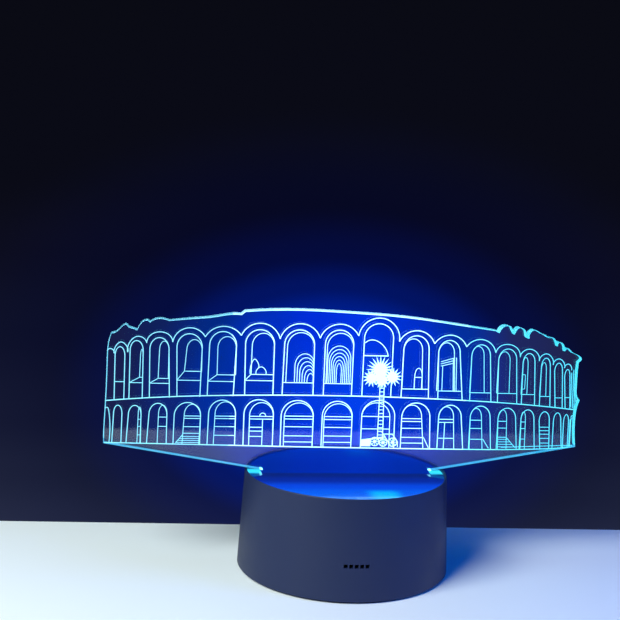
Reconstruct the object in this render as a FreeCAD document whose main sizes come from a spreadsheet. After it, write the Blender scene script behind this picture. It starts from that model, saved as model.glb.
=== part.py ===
import FreeCAD, Part
import math
import os
from collections import namedtuple
from FreeCAD import Placement, Rotation, Vector
import Sketcher

# Edge-lit acrylic lamp with a two-storey Roman arena front.
# Frame: millimetres, +Z up, origin on the table under the centre of the round base,
# +X along the plate's width, the engraved face towards -Y.

DIMENSIONS = {
    # round base
    "base_height": 40,
    "base_bottom_radius": 43.5,
    "base_top_radius": 41.5,
    "wall": 2.2,
    "rim_width": 0.8,
    "rim_fillet": 0.35,
    "deck_top": 37.4,
    "deck_thickness": 2,
    "panel_thickness": 1.6,
    "part_gap": 0.2,
    "foot_height": 0.8,
    "foot_radius": 3.5,
    "foot_offset_x": 23.5,
    "foot_offset_y": 28,
    "cover_thickness": 2,
    # openings in the drum
    "vent_middle": -1.3,
    "vent_size": 1.5,
    "vent_pitch": 2.06,
    "vent_height": 14.5,
    "socket_mouth_width": 10.4,
    "socket_mouth_height": 4.6,
    # screw bosses
    "boss_x": 34.5,
    "boss_y": 12.6,
    "boss_radius": 3,
    "boss_bottom": 3,
    "pilot_radius": 0.9,
    "screw_radius": 1.1,
    "screw_head_radius": 2.1,
    "screw_head_height": 1.2,
    # plate
    "plate_thickness": 4,
    "tongue_half_width": 34.7,
    "tongue_bottom": 28,
    "shoulder_height": 50.5,
    "plate_half_width": 98.5,
    "right_corner_x": 97.1,
    "right_corner_height": 50.9,
    "slot_gap": 0.25,
    # engraving
    "engraving_depth": 0.3,
    "engraving_line": 0.35,
    # plate holder and light board
    "holder_half_width": 38,
    "holder_half_depth": 6,
    "holder_bottom": 24.4,
    "holder_ear_x": 22,
    "holder_ear_y": 9.5,
    "holder_ear_radius": 2.8,
    "light_window_half_width": 31.5,
    "light_window_half_depth": 3.4,
    "light_window_top": 26.6,
    "board_thickness": 1.6,
    "light_board_half_width": 36,
    "light_board_half_depth": 5.5,
    "light_board_screw_x": 33.8,
    "light_size": 5,
    "light_height": 1.6,
    "light_pitch": 9,
    # battery bay
    "bay_half_length": 29,
    "bay_half_width": 22.6,
    "bay_wall": 1.5,
    "bay_roof": 18.2,
    "door_thickness": 1.4,
    "door_gap": 0.35,
    "hinge_y": -20.6,
    "hinge_height": 2.5,
    "hinge_radius": 1.5,
    "hinge_pin_radius": 0.9,
    "hinge_pin_gap": 0.07,
    "cell_radius": 7.1,
    "cell_length": 49.5,
    "cell_nub_radius": 2.75,
    "cell_nub_length": 1,
    "cell_height": 10,
    "cell_pitch": 14.6,
    # control board and what it carries
    "control_half_width": 19,
    "control_front": 12,
    "control_back": 33,
    "control_bottom": 20,
    "control_tab_half_width": 6,
    "control_tab_back": 37.6,
    "usb_width": 8.9,
    "usb_height": 3.2,
    "usb_front": 33.5,
    "usb_back": 41.2,
    "ir_back": -33.4,
    "touch_pad_radius": 6,
    "touch_pad_y": -19,
    "wire_radius": 0.6,
}


def make_sheet(doc):
    """Put every driving dimension in a spreadsheet cell with an alias."""
    sheet = doc.addObject("Spreadsheet::Sheet", "dims")
    for row, (alias, value) in enumerate(DIMENSIONS.items(), start=1):
        sheet.set(f"A{row}", alias)
        sheet.set(f"B{row}", str(value))
        sheet.setAlias(f"B{row}", alias)
    doc.recompute()
    return sheet


doc = FreeCAD.newDocument("arena_lamp")
sheet = make_sheet(doc)
subparts = []


def size(name):
    """Read one driving dimension from the sheet."""
    return float(sheet.get(name))


def bound(expression):
    """Write an expression on sheet aliases in the form that setExpression reads."""
    words = []
    word = ""
    for letter in expression + " ":
        if letter.isalnum() or letter == "_":
            word += letter
            continue
        words.append("dims." + word if word in DIMENSIONS else word)
        words.append(letter)
        word = ""
    return "".join(words).strip()


def value_of(expression):
    """Work an expression out now, for a sketch's starting geometry."""
    return float(sheet.evalExpression(bound(expression)))


def keep(obj, label):
    """Name an object as one of the lamp's sub-parts."""
    obj.Label = label
    subparts.append(obj)
    return obj


# ---------------------------------------------------------------- sketches and features


def new_body(name):
    return doc.addObject("PartDesign::Body", name)


def new_sketch(body, name, plane="XY_Plane", offset="0"):
    """Start a sketch on one of the body's origin planes, moved along the plane's normal."""
    sketch = body.newObject("Sketcher::SketchObject", name)
    support = next(f for f in body.Origin.OriginFeatures if f.Role == plane)
    sketch.AttachmentSupport = [(support, "")]
    sketch.MapMode = "FlatFace"
    sketch.setExpression("AttachmentOffset.Base.z", bound(offset))
    return sketch


def fix_point(sketch, geometry, position, x, y):
    """Tie one sketch point to the sketch's origin with two driven distances."""
    for kind, expression in (("DistanceX", x), ("DistanceY", y)):
        value = value_of(expression)
        if abs(value) < 1e-9:
            axis = -2 if kind == "DistanceX" else -1
            sketch.addConstraint(Sketcher.Constraint("PointOnObject", geometry, position, axis))
        elif value > 0:
            index = sketch.addConstraint(Sketcher.Constraint(kind, -1, 1, geometry, position, value))
            sketch.setExpression(f"Constraints[{index}]", bound(expression))
        else:
            index = sketch.addConstraint(Sketcher.Constraint(kind, geometry, position, -1, 1, -value))
            sketch.setExpression(f"Constraints[{index}]", bound(f"-({expression})"))


def add_polygon(sketch, points):
    """Draw a closed polygon whose corners are pairs of expressions."""
    corners = [Vector(value_of(x), value_of(y), 0) for x, y in points]
    first = sketch.GeometryCount
    count = len(corners)
    for index in range(count):
        sketch.addGeometry(Part.LineSegment(corners[index], corners[(index + 1) % count]))
    for index in range(count):
        following = first + (index + 1) % count
        sketch.addConstraint(Sketcher.Constraint("Coincident", first + index, 2, following, 1))
    for index, (x, y) in enumerate(points):
        fix_point(sketch, first + index, 1, x, y)


def add_rectangle(sketch, low_x, low_y, high_x, high_y):
    add_polygon(sketch, [(low_x, low_y), (high_x, low_y), (high_x, high_y), (low_x, high_y)])


def add_circle(sketch, x, y, radius):
    centre = Vector(value_of(x), value_of(y), 0)
    index = sketch.addGeometry(Part.Circle(centre, Vector(0, 0, 1), value_of(radius)))
    fix_point(sketch, index, 3, x, y)
    constraint = sketch.addConstraint(Sketcher.Constraint("Radius", index, value_of(radius)))
    sketch.setExpression(f"Constraints[{constraint}]", bound(radius))


def add_four_circles(sketch, x, y, radius):
    for side in ("", "-"):
        for end in ("", "-"):
            add_circle(sketch, f"{side}{x}", f"{end}{y}", radius)


def extrude(body, kind, name, sketch, length, backwards=False):
    """Add a Pad or a Pocket; one that adds or takes away nothing is an error."""
    doc.recompute()
    before = body.Shape.copy() if body.Tip else None
    feature = body.newObject(f"PartDesign::{kind}", name)
    feature.Profile = sketch
    feature.setExpression("Length", bound(length))
    feature.Reversed = backwards
    doc.recompute()
    if before is not None:
        larger, smaller = (before, body.Shape) if kind == "Pocket" else (body.Shape, before)
        if larger.cut(smaller).Volume <= 0:
            raise RuntimeError(f"{name} changes nothing")
    return feature


def revolve(body, name, sketch):
    feature = body.newObject("PartDesign::Revolution", name)
    feature.Profile = sketch
    feature.ReferenceAxis = (sketch, ["V_Axis"])
    feature.Angle = 360
    doc.recompute()
    return feature


def place(obj, x="0", y="0", z="0", axis=None, angle=0):
    """Bind an object's position to the sheet, after turning it about an axis."""
    if axis is not None:
        obj.Placement = Placement(Vector(0, 0, 0), Rotation(Vector(*axis), angle))
    for name, expression in (("x", x), ("y", y), ("z", z)):
        obj.setExpression(f"Placement.Base.{name}", bound(expression))
    return obj


def box(name, low, high):
    """A Part::Box between two corners given as expressions."""
    obj = doc.addObject("Part::Box", name)
    for prop, start, end in zip(("Length", "Width", "Height"), low, high):
        obj.setExpression(prop, bound(f"({end}) - ({start})"))
    return place(obj, *low)


def cylinder(name, radius, length, x="0", y="0", z="0", axis=None, angle=0):
    obj = doc.addObject("Part::Cylinder", name)
    obj.setExpression("Radius", bound(radius))
    obj.setExpression("Height", bound(length))
    return place(obj, x, y, z, axis, angle)


def fuse(name, shapes):
    obj = doc.addObject("Part::MultiFuse", name)
    obj.Shapes = shapes
    obj.Refine = True
    return obj


def cut(name, base, tool):
    obj = doc.addObject("Part::Cut", name)
    obj.Base = base
    obj.Tool = tool
    return obj


def group(name, shapes):
    """Several separate solids in one sub-part."""
    obj = doc.addObject("Part::Compound", name)
    obj.Links = shapes
    return obj


# ---------------------------------------------------------------- round base


def make_base_housing():
    body = new_body("base_housing")
    profile = new_sketch(body, "housing_profile", "XZ_Plane")
    inner_top = "base_top_radius - wall + 0.1"
    inner_bottom = "base_bottom_radius - wall"
    add_polygon(profile, [
        ("base_bottom_radius", "foot_height"),
        ("base_top_radius", "base_height"),
        ("base_top_radius - rim_width", "base_height"),
        ("base_top_radius - rim_width", "deck_top"),
        ("0", "deck_top"),
        ("0", "deck_top - deck_thickness"),
        (inner_top, "deck_top - deck_thickness"),
        (inner_bottom, "foot_height"),
    ])
    revolve(body, "housing_shell", profile)

    bosses = new_sketch(body, "boss_circles", offset="boss_bottom")
    add_four_circles(bosses, "boss_x", "boss_y", "boss_radius")
    extrude(body, "Pad", "bosses", bosses, "deck_top - deck_thickness - boss_bottom")

    pilots = new_sketch(body, "boss_pilots", offset="boss_bottom")
    add_four_circles(pilots, "boss_x", "boss_y", "pilot_radius")
    extrude(body, "Pocket", "pilot_holes", pilots, "12", backwards=True)

    slot = new_sketch(body, "deck_slot_outline", offset="deck_top")
    half_width = "tongue_half_width + 2 * slot_gap"
    half_depth = "plate_thickness / 2 + 2 * slot_gap"
    add_rectangle(slot, f"-({half_width})", f"-({half_depth})", half_width, half_depth)
    extrude(body, "Pocket", "deck_slot", slot, "deck_thickness")

    ears = new_sketch(body, "ear_pilots", offset="deck_top - deck_thickness")
    add_four_circles(ears, "holder_ear_x", "holder_ear_y", "pilot_radius")
    extrude(body, "Pocket", "ear_pilot_holes", ears, "deck_thickness - 0.5", backwards=True)

    vents = new_sketch(body, "vent_outlines", "XZ_Plane")
    for step in range(-2, 3):
        middle = f"vent_middle + {step} * vent_pitch"
        add_rectangle(
            vents,
            f"{middle} - vent_size / 2",
            "vent_height - vent_size / 2",
            f"{middle} + vent_size / 2",
            "vent_height + vent_size / 2",
        )
    extrude(body, "Pocket", "vents", vents, "base_bottom_radius + 5", backwards=True)

    mouth = new_sketch(body, "socket_mouth_outline", "XZ_Plane")
    middle = "control_bottom + board_thickness + usb_height / 2"
    add_rectangle(
        mouth,
        "-socket_mouth_width / 2",
        f"{middle} - socket_mouth_height / 2",
        "socket_mouth_width / 2",
        f"{middle} + socket_mouth_height / 2",
    )
    extrude(body, "Pocket", "socket_mouth", mouth, "base_bottom_radius + 5")

    rim = body.newObject("PartDesign::Fillet", "rim_fillet")
    tip = next(f for f in body.Group if f.Name == "socket_mouth")
    top_edges = []
    for index, edge in enumerate(tip.Shape.Edges, start=1):
        bounds = edge.BoundBox
        on_top = abs(bounds.ZMin - size("base_height")) < 1e-4 and abs(bounds.ZMax - bounds.ZMin) < 1e-4
        if on_top:
            top_edges.append(f"Edge{index}")
    rim.Base = (tip, top_edges)
    rim.setExpression("Radius", bound("rim_fillet"))
    body.Tip = rim
    return keep(body, "base_housing")


def make_top_panel():
    body = new_body("top_panel")
    disc = new_sketch(body, "panel_disc", offset="deck_top")
    add_circle(disc, "0", "0", "base_top_radius - rim_width - part_gap")
    extrude(body, "Pad", "panel", disc, "panel_thickness")

    slot = new_sketch(body, "panel_slot_outline", offset="deck_top + panel_thickness")
    half_width = "tongue_half_width + slot_gap"
    half_depth = "plate_thickness / 2 + slot_gap"
    add_rectangle(slot, f"-({half_width})", f"-({half_depth})", half_width, half_depth)
    extrude(body, "Pocket", "panel_slot", slot, "panel_thickness")

    mark = new_sketch(body, "touch_mark_rings", offset="deck_top + panel_thickness")
    add_circle(mark, "0", "touch_pad_y", "touch_pad_radius * 0.6")
    add_circle(mark, "0", "touch_pad_y", "touch_pad_radius * 0.6 - 0.5")
    extrude(body, "Pocket", "touch_mark", mark, "0.15")
    return keep(body, "top_panel")


def make_bottom_cover():
    """Disc with the battery bay moulded into it, closed above and open below."""
    body = new_body("bottom_cover")
    disc = new_sketch(body, "cover_disc", offset="foot_height")
    add_circle(disc, "0", "0", "base_bottom_radius - wall - part_gap")
    extrude(body, "Pad", "cover", disc, "cover_thickness")

    block = new_sketch(body, "bay_outline", offset="foot_height")
    outer_x = "bay_half_length + bay_wall"
    outer_y = "bay_half_width + bay_wall"
    add_rectangle(block, f"-({outer_x})", f"-({outer_y})", outer_x, outer_y)
    extrude(body, "Pad", "bay_block", block, "bay_roof + bay_wall - foot_height")

    inside = new_sketch(body, "bay_inside", offset="foot_height")
    add_rectangle(inside, "-bay_half_length", "-bay_half_width", "bay_half_length", "bay_half_width")
    extrude(body, "Pocket", "bay", inside, "bay_roof - foot_height", backwards=True)

    hinge = new_sketch(body, "hinge_circle", "YZ_Plane", offset="-bay_half_length - bay_wall")
    add_circle(hinge, "hinge_y", "hinge_height", "hinge_pin_radius + hinge_pin_gap")
    extrude(body, "Pocket", "hinge_holes", hinge, "2 * (bay_half_length + bay_wall)", backwards=True)

    screws = new_sketch(body, "cover_screw_circles", offset="foot_height")
    add_four_circles(screws, "boss_x", "boss_y", "screw_radius + 0.1")
    extrude(body, "Pocket", "cover_screw_holes", screws, "cover_thickness", backwards=True)

    heads = new_sketch(body, "cover_head_circles", offset="foot_height")
    add_four_circles(heads, "boss_x", "boss_y", "screw_head_radius + 0.2")
    extrude(body, "Pocket", "cover_counterbores", heads, "screw_head_height", backwards=True)

    posts = new_sketch(body, "post_circles", offset="bay_roof + bay_wall")
    post_x = "control_half_width - 3"
    for side in ("", "-"):
        add_circle(posts, f"{side}({post_x})", "control_front + 4", "2.4")
    extrude(body, "Pad", "board_posts", posts, "control_bottom - bay_roof - bay_wall")
    pilots = new_sketch(body, "post_pilots", offset="control_bottom")
    for side in ("", "-"):
        add_circle(pilots, f"{side}({post_x})", "control_front + 4", "pilot_radius")
    extrude(body, "Pocket", "post_pilot_holes", pilots, "1.6")

    ribs = new_sketch(body, "receiver_rib_outlines", offset="foot_height + cover_thickness")
    for side in ("", "-"):
        for edge in ("ir_back - 1.4", "ir_back + 1.3"):
            add_rectangle(ribs, f"{side}5", f"{edge}", f"{side}7.6", f"{edge} + 1.2")
    extrude(body, "Pad", "receiver_ribs", ribs, "7")

    finger = new_sketch(body, "finger_recess_outline", offset="foot_height")
    add_circle(finger, "0", "bay_half_width + 4", "7")
    extrude(body, "Pocket", "finger_recess", finger, "0.8", backwards=True)
    return keep(body, "bottom_cover")


def make_battery_door():
    body = new_body("battery_door")
    plate = new_sketch(body, "door_outline", offset="foot_height")
    half_length = "bay_half_length - door_gap"
    add_rectangle(
        plate,
        f"-({half_length})",
        "hinge_y - 0.4",
        half_length,
        "bay_half_width - door_gap",
    )
    extrude(body, "Pad", "door_plate", plate, "door_thickness")

    for name, start in (("left", "-bay_half_length + door_gap"), ("right", "bay_half_length - door_gap - 5")):
        knuckle = new_sketch(body, f"{name}_knuckle_circle", "YZ_Plane", offset=start)
        add_circle(knuckle, "hinge_y", "hinge_height", "hinge_radius")
        extrude(body, "Pad", f"{name}_knuckle", knuckle, "5")
    for name, start in (("left", "-bay_half_length - 1"), ("right", "bay_half_length - door_gap - 1")):
        pin = new_sketch(body, f"{name}_pin_circle", "YZ_Plane", offset=start)
        add_circle(pin, "hinge_y", "hinge_height", "hinge_pin_radius")
        extrude(body, "Pad", f"{name}_pin", pin, "2 + door_gap")

    grooves = new_sketch(body, "grip_outlines", offset="foot_height")
    for step in range(4):
        low = f"bay_half_width - 4 - {step} * 2"
        add_rectangle(grooves, "-7", low, "7", f"{low} + 0.9")
    extrude(body, "Pocket", "grip_grooves", grooves, "0.4", backwards=True)
    return keep(body, "battery_door")


def make_feet():
    corners = [("", ""), ("-", ""), ("-", "-"), ("", "-")]
    for number, (side, end) in enumerate(corners, start=1):
        foot = cylinder(
            f"foot_blank_{number}",
            "foot_radius",
            "foot_height",
            f"{side}foot_offset_x",
            f"{end}foot_offset_y",
        )
        rounded = doc.addObject("Part::Fillet", f"rubber_foot_{number}")
        rounded.Base = foot
        doc.recompute()
        lower = next(
            index
            for index, edge in enumerate(foot.Shape.Edges, start=1)
            if edge.BoundBox.ZMax < 0.01
        )
        rounded.Edges = [(lower, 0.25, 0.25)]
        keep(rounded, f"rubber_foot_{number}")


# ---------------------------------------------------------------- light and plate holder


def make_plate_holder():
    """Cradle under the slot: the tongue stands on its ledge, over a window for the light."""
    body = new_body("plate_holder")
    outer = new_sketch(body, "holder_outline", offset="holder_bottom")
    add_rectangle(outer, "-holder_half_width", "-holder_half_depth", "holder_half_width", "holder_half_depth")
    extrude(body, "Pad", "holder_block", outer, "deck_top - deck_thickness - holder_bottom")

    ears = new_sketch(body, "ear_outlines", offset="deck_top - deck_thickness")
    for side in ("", "-"):
        add_rectangle(
            ears,
            f"{side}holder_ear_x - holder_ear_radius",
            "-(holder_ear_y + holder_ear_radius)",
            f"{side}holder_ear_x + holder_ear_radius",
            "holder_ear_y + holder_ear_radius",
        )
    extrude(body, "Pad", "ears", ears, "2", backwards=True)
    ear_holes = new_sketch(body, "ear_holes", offset="deck_top - deck_thickness")
    add_four_circles(ear_holes, "holder_ear_x", "holder_ear_y", "screw_radius + 0.1")
    extrude(body, "Pocket", "ear_screw_holes", ear_holes, "2")

    channel = new_sketch(body, "channel_outline", offset="deck_top - deck_thickness")
    half_width = "tongue_half_width + slot_gap"
    half_depth = "plate_thickness / 2 + slot_gap"
    add_rectangle(channel, f"-({half_width})", f"-({half_depth})", half_width, half_depth)
    extrude(body, "Pocket", "tongue_channel", channel, "deck_top - deck_thickness - tongue_bottom")

    window = new_sketch(body, "window_outline", offset="tongue_bottom")
    add_rectangle(window, "-light_window_half_width", "-1.5", "light_window_half_width", "1.5")
    extrude(body, "Pocket", "light_window", window, "tongue_bottom - holder_bottom")

    room = new_sketch(body, "light_room_outline", offset="holder_bottom")
    width = "light_window_half_width"
    depth = "light_window_half_depth"
    add_rectangle(room, f"-{width}", f"-{depth}", width, depth)
    extrude(body, "Pocket", "light_room", room, "light_window_top - holder_bottom", backwards=True)

    pilots = new_sketch(body, "light_board_pilots", offset="holder_bottom")
    for side in ("", "-"):
        add_circle(pilots, f"{side}light_board_screw_x", "0", "pilot_radius")
    extrude(body, "Pocket", "light_board_pilot_holes", pilots, "3", backwards=True)
    return keep(body, "plate_holder")


def make_light_board():
    board = box(
        "light_board_blank",
        ("-light_board_half_width", "-light_board_half_depth", "holder_bottom - board_thickness"),
        ("light_board_half_width", "light_board_half_depth", "holder_bottom"),
    )
    holes = [
        cylinder(f"light_board_hole_{name}", "screw_radius", "board_thickness", x, "0",
                 "holder_bottom - board_thickness")
        for name, x in (("left", "-light_board_screw_x"), ("right", "light_board_screw_x"))
    ]
    keep(cut("led_board", board, fuse("light_board_holes", holes)), "led_board")

    for number in range(1, 8):
        middle = f"({number} - 4) * light_pitch"
        package = box(
            f"led_package_{number}",
            (f"{middle} - light_size / 2", "-light_size / 2", "holder_bottom"),
            (f"{middle} + light_size / 2", "light_size / 2", "holder_bottom + light_height"),
        )
        well = doc.addObject("Part::Cone", f"led_well_{number}")
        well.setExpression("Radius1", bound("light_size * 0.3"))
        well.setExpression("Radius2", bound("light_size * 0.4"))
        well.setExpression("Height", bound("light_height / 2"))
        place(well, middle, "0", "holder_bottom + light_height / 2")
        keep(cut(f"led_{number}", package, well), f"led_{number}")


# ---------------------------------------------------------------- power and control


def make_cells():
    for number in range(1, 4):
        turn = 90 if number != 2 else -90
        sign = "-" if number != 2 else ""
        row = f"({number} - 2) * cell_pitch"
        start = f"{sign}(cell_length / 2)"
        shell = cylinder(f"cell_can_{number}", "cell_radius", "cell_length", start, row, "cell_height",
                         (0, 1, 0), turn)
        nub = cylinder(f"cell_nub_{number}", "cell_nub_radius", "cell_length + cell_nub_length", start, row,
                       "cell_height", (0, 1, 0), turn)
        keep(fuse(f"aa_cell_{number}", [shell, nub]), f"aa_cell_{number}")


def make_contacts():
    """A curved leaf at each cell's flat end and a domed tab at its nub, on the bay's end walls."""
    leaves = []
    tabs = []
    for number in range(1, 4):
        row = f"({number} - 2) * cell_pitch"
        leaf_side = "-" if number != 2 else ""
        tab_side = "" if number != 2 else "-"
        leaves.append(leaf_contact(f"contact_leaf_{number}", leaf_side, row))
        tabs.append(tab_contact(f"contact_tab_{number}", tab_side, row))
    keep(group("contact_springs", leaves), "contact_springs")
    keep(group("contact_plates", tabs), "contact_plates")


def contact_back(name, side, row):
    wall = f"{side}(bay_half_length - 0.4)"
    return box(
        f"{name}_back",
        (f"{wall} - 0.2", f"{row} - 5", "cell_height - 5"),
        (f"{wall} + 0.2", f"{row} + 5", "cell_height + 5"),
    )


def leaf_contact(name, side, row):
    """Half a thin tube, standing on a flat back plate and bulging towards the cell."""
    reach = "(bay_half_length - cell_length / 2 - 0.7)"
    centre = f"{side}(bay_half_length - 0.5)"
    tube = cut(
        f"{name}_tube",
        cylinder(f"{name}_outer", reach, "8", centre, row, "cell_height - 4"),
        cylinder(f"{name}_inner", f"{reach} - 0.3", "8", centre, row, "cell_height - 4"),
    )
    near = f"{side}(bay_half_length - 0.5)"
    far = f"{side}(bay_half_length - 0.5 - {reach})"
    low, high = (near, far) if side == "-" else (far, near)
    half = doc.addObject("Part::Common", f"{name}_half")
    half.Base = tube
    half.Tool = box(f"{name}_room", (low, f"{row} - {reach}", "cell_height - 4"),
                    (high, f"{row} + {reach}", "cell_height + 4"))
    return fuse(name, [contact_back(name, side, row), half])


def tab_contact(name, side, row):
    dome = doc.addObject("Part::Cone", f"{name}_dome")
    dome.Radius1 = 4
    dome.Radius2 = 2.5
    dome.setExpression("Height", bound("bay_half_length - cell_length / 2 - cell_nub_length - 0.5"))
    turn = -90 if side == "" else 90
    place(dome, f"{side}(bay_half_length - 0.4)", row, "cell_height", (0, 1, 0), turn)
    return fuse(name, [contact_back(name, side, row), dome])


def make_control_board():
    top = "control_bottom + board_thickness"
    main = box(
        "control_board_main",
        ("-control_half_width", "control_front", "control_bottom"),
        ("control_half_width", "control_back", top),
    )
    tab = box(
        "control_board_tab",
        ("-control_tab_half_width", "control_back - 1", "control_bottom"),
        ("control_tab_half_width", "control_tab_back", top),
    )
    holes = [
        cylinder(f"control_hole_{name}", "screw_radius + 0.1", "board_thickness", x, "control_front + 4",
                 "control_bottom")
        for name, x in (("left", "-(control_half_width - 3)"), ("right", "control_half_width - 3"))
    ]
    board = cut("control_board", fuse("control_board_blank", [main, tab]), fuse("control_holes", holes))
    keep(board, "control_board")

    chip = box(
        "control_chip_body",
        ("-2", "control_front + 8", f"{top} + 0.1"),
        ("2", "control_front + 18", f"{top} + 1.6"),
    )
    legs = []
    for step in range(8):
        row = f"control_front + 8.4 + {step} * 1.27"
        legs.append(box(f"chip_leg_{step}", ("-3", row, top), ("3", f"{row} + 0.4", f"{top} + 0.3")))
    keep(fuse("control_chip", [chip] + legs), "control_chip")

    cans = []
    for number, x in enumerate((-12, 12), start=1):
        cans.append(cylinder(f"capacitor_can_{number}", "2.5", "6", f"{x}", "control_front + 14", top))
    keep(group("capacitors", cans), "capacitors")


def make_usb_socket():
    low = "control_bottom + board_thickness"
    half = "usb_width / 2"
    shell = box("usb_shell", (f"-{half}", "usb_front", low), (half, "usb_back", f"{low} + usb_height"))
    hollow = box(
        "usb_hollow",
        (f"-{half} + 0.35", "usb_front + 1", f"{low} + 0.35"),
        (f"{half} - 0.35", "usb_back + 1", f"{low} + usb_height - 0.35"),
    )
    rounded = doc.addObject("Part::Fillet", "usb_shell_rounded")
    rounded.Base = shell
    doc.recompute()
    long_edges = [
        index
        for index, edge in enumerate(shell.Shape.Edges, start=1)
        if edge.BoundBox.YLength > 1
    ]
    rounded.Edges = [(index, 1.2, 1.2) for index in long_edges]
    tongue = box(
        "usb_tongue",
        (f"-{half} + 1.4", "usb_front + 0.5", f"{low} + usb_height / 2 - 0.35"),
        (f"{half} - 1.4", "usb_back - 1", f"{low} + usb_height / 2 + 0.35"),
    )
    hollowed = cut("usb_can", rounded, hollow)
    keep(fuse("usb_socket", [hollowed, tongue]), "usb_socket")


def make_ir_receiver():
    """Remote-control receiver standing behind the five openings, on its own small board."""
    board = box(
        "ir_board_blank",
        ("-7", "ir_back", "foot_height + cover_thickness"),
        ("7", "ir_back + 1.1", "vent_height + 5.5"),
    )
    keep(board, "ir_board")
    case = box("ir_case", ("-3", "ir_back - 4", "vent_height - 3.5"), ("3", "ir_back", "vent_height + 3.5"))
    dome = doc.addObject("Part::Sphere", "ir_dome")
    dome.Radius = 2.4
    place(dome, "0", "ir_back - 4", "vent_height")
    legs = []
    for step in (-1, 0, 1):
        legs.append(box(
            f"ir_leg_{step + 1}",
            (f"{step} * 1.9 - 0.2", "ir_back - 1.2", "vent_height - 7.5"),
            (f"{step} * 1.9 + 0.2", "ir_back - 0.8", "vent_height - 3.4"),
        ))
    keep(fuse("ir_receiver", [case, dome] + legs), "ir_receiver")


def make_touch_pad():
    underside = "deck_top - deck_thickness"
    pad = cylinder("touch_foil", "touch_pad_radius", "0.4", "0", "touch_pad_y", f"{underside} - 0.4")
    keep(pad, "touch_pad")


# ---------------------------------------------------------------- screws and wires


def screw(name, x, y, seat, length, head_up=True):
    """Pan-head self-tapping screw with a cross slot; seat is the underside of its head."""
    turn = 180 if head_up else 0
    shank = cylinder(f"{name}_shank", "pilot_radius", length, x, y, seat, (1, 0, 0), turn)
    turn = 0 if head_up else 180
    head = cylinder(f"{name}_head", "screw_head_radius", "screw_head_height", x, y, seat, (1, 0, 0), turn)
    sign = "+" if head_up else "-"
    middle = f"{seat} {sign} screw_head_height"
    slots = [
        box(f"{name}_slot_{number}",
            (f"{x} - {a}", f"{y} - {b}", f"{middle} - 0.5"),
            (f"{x} + {a}", f"{y} + {b}", f"{middle} + 0.5"))
        for number, (a, b) in enumerate(((1.3, 0.2), (0.2, 1.3)), start=1)
    ]
    return cut(name, fuse(f"{name}_blank", [shank, head]), fuse(f"{name}_cross", slots))


def make_screws():
    corners = [(side, end) for side in ("", "-") for end in ("", "-")]
    housing = [
        screw(f"housing_screw_{n}", f"{side}boss_x", f"{end}boss_y", "foot_height + screw_head_height",
              "8", head_up=False)
        for n, (side, end) in enumerate(corners, start=1)
    ]
    keep(group("housing_screws", housing), "housing_screws")
    holder = [
        screw(f"holder_screw_{n}", f"{side}holder_ear_x", f"{end}holder_ear_y",
              "deck_top - deck_thickness - 2", "3.2", head_up=False)
        for n, (side, end) in enumerate(corners, start=1)
    ]
    keep(group("holder_screws", holder), "holder_screws")
    boards = []
    for n, side in enumerate(("", "-"), start=1):
        boards.append(screw(f"control_screw_{n}", f"{side}(control_half_width - 3)", "control_front + 4",
                            "control_bottom + board_thickness", "3"))
        boards.append(screw(f"light_screw_{n}", f"{side}light_board_screw_x", "0",
                            "holder_bottom - board_thickness", "4.2", head_up=False))
    keep(group("board_screws", boards), "board_screws")


def wire_tube(name, points, radius):
    """A tube along straight runs joined by tangent arcs."""
    corners = [Vector(*point) for point in points]
    edges = []
    start = corners[0]
    for before, corner, after in zip(corners, corners[1:], corners[2:]):
        back = (before - corner).normalize()
        ahead = (after - corner).normalize()
        shorter = min((before - corner).Length, (after - corner).Length)
        reach = 0.45 * shorter
        first = corner + back * reach
        last = corner + ahead * reach
        half_angle = back.getAngle(ahead) / 2
        bend = reach * math.tan(half_angle)
        inward = (back + ahead).normalize()
        centre = corner + inward * (bend / math.sin(half_angle))
        middle = centre - inward * bend
        edges.append(Part.LineSegment(start, first).toShape())
        edges.append(Part.Arc(first, middle, last).toShape())
        start = last
    edges.append(Part.LineSegment(start, corners[-1]).toShape())
    path = Part.Wire(edges)
    direction = (corners[1] - corners[0]).normalize()
    profile = Part.Wire(Part.makeCircle(radius, corners[0], direction))
    obj = doc.addObject("Part::Feature", name)
    obj.Shape = path.makePipeShell([profile], True, True)
    return obj


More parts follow.
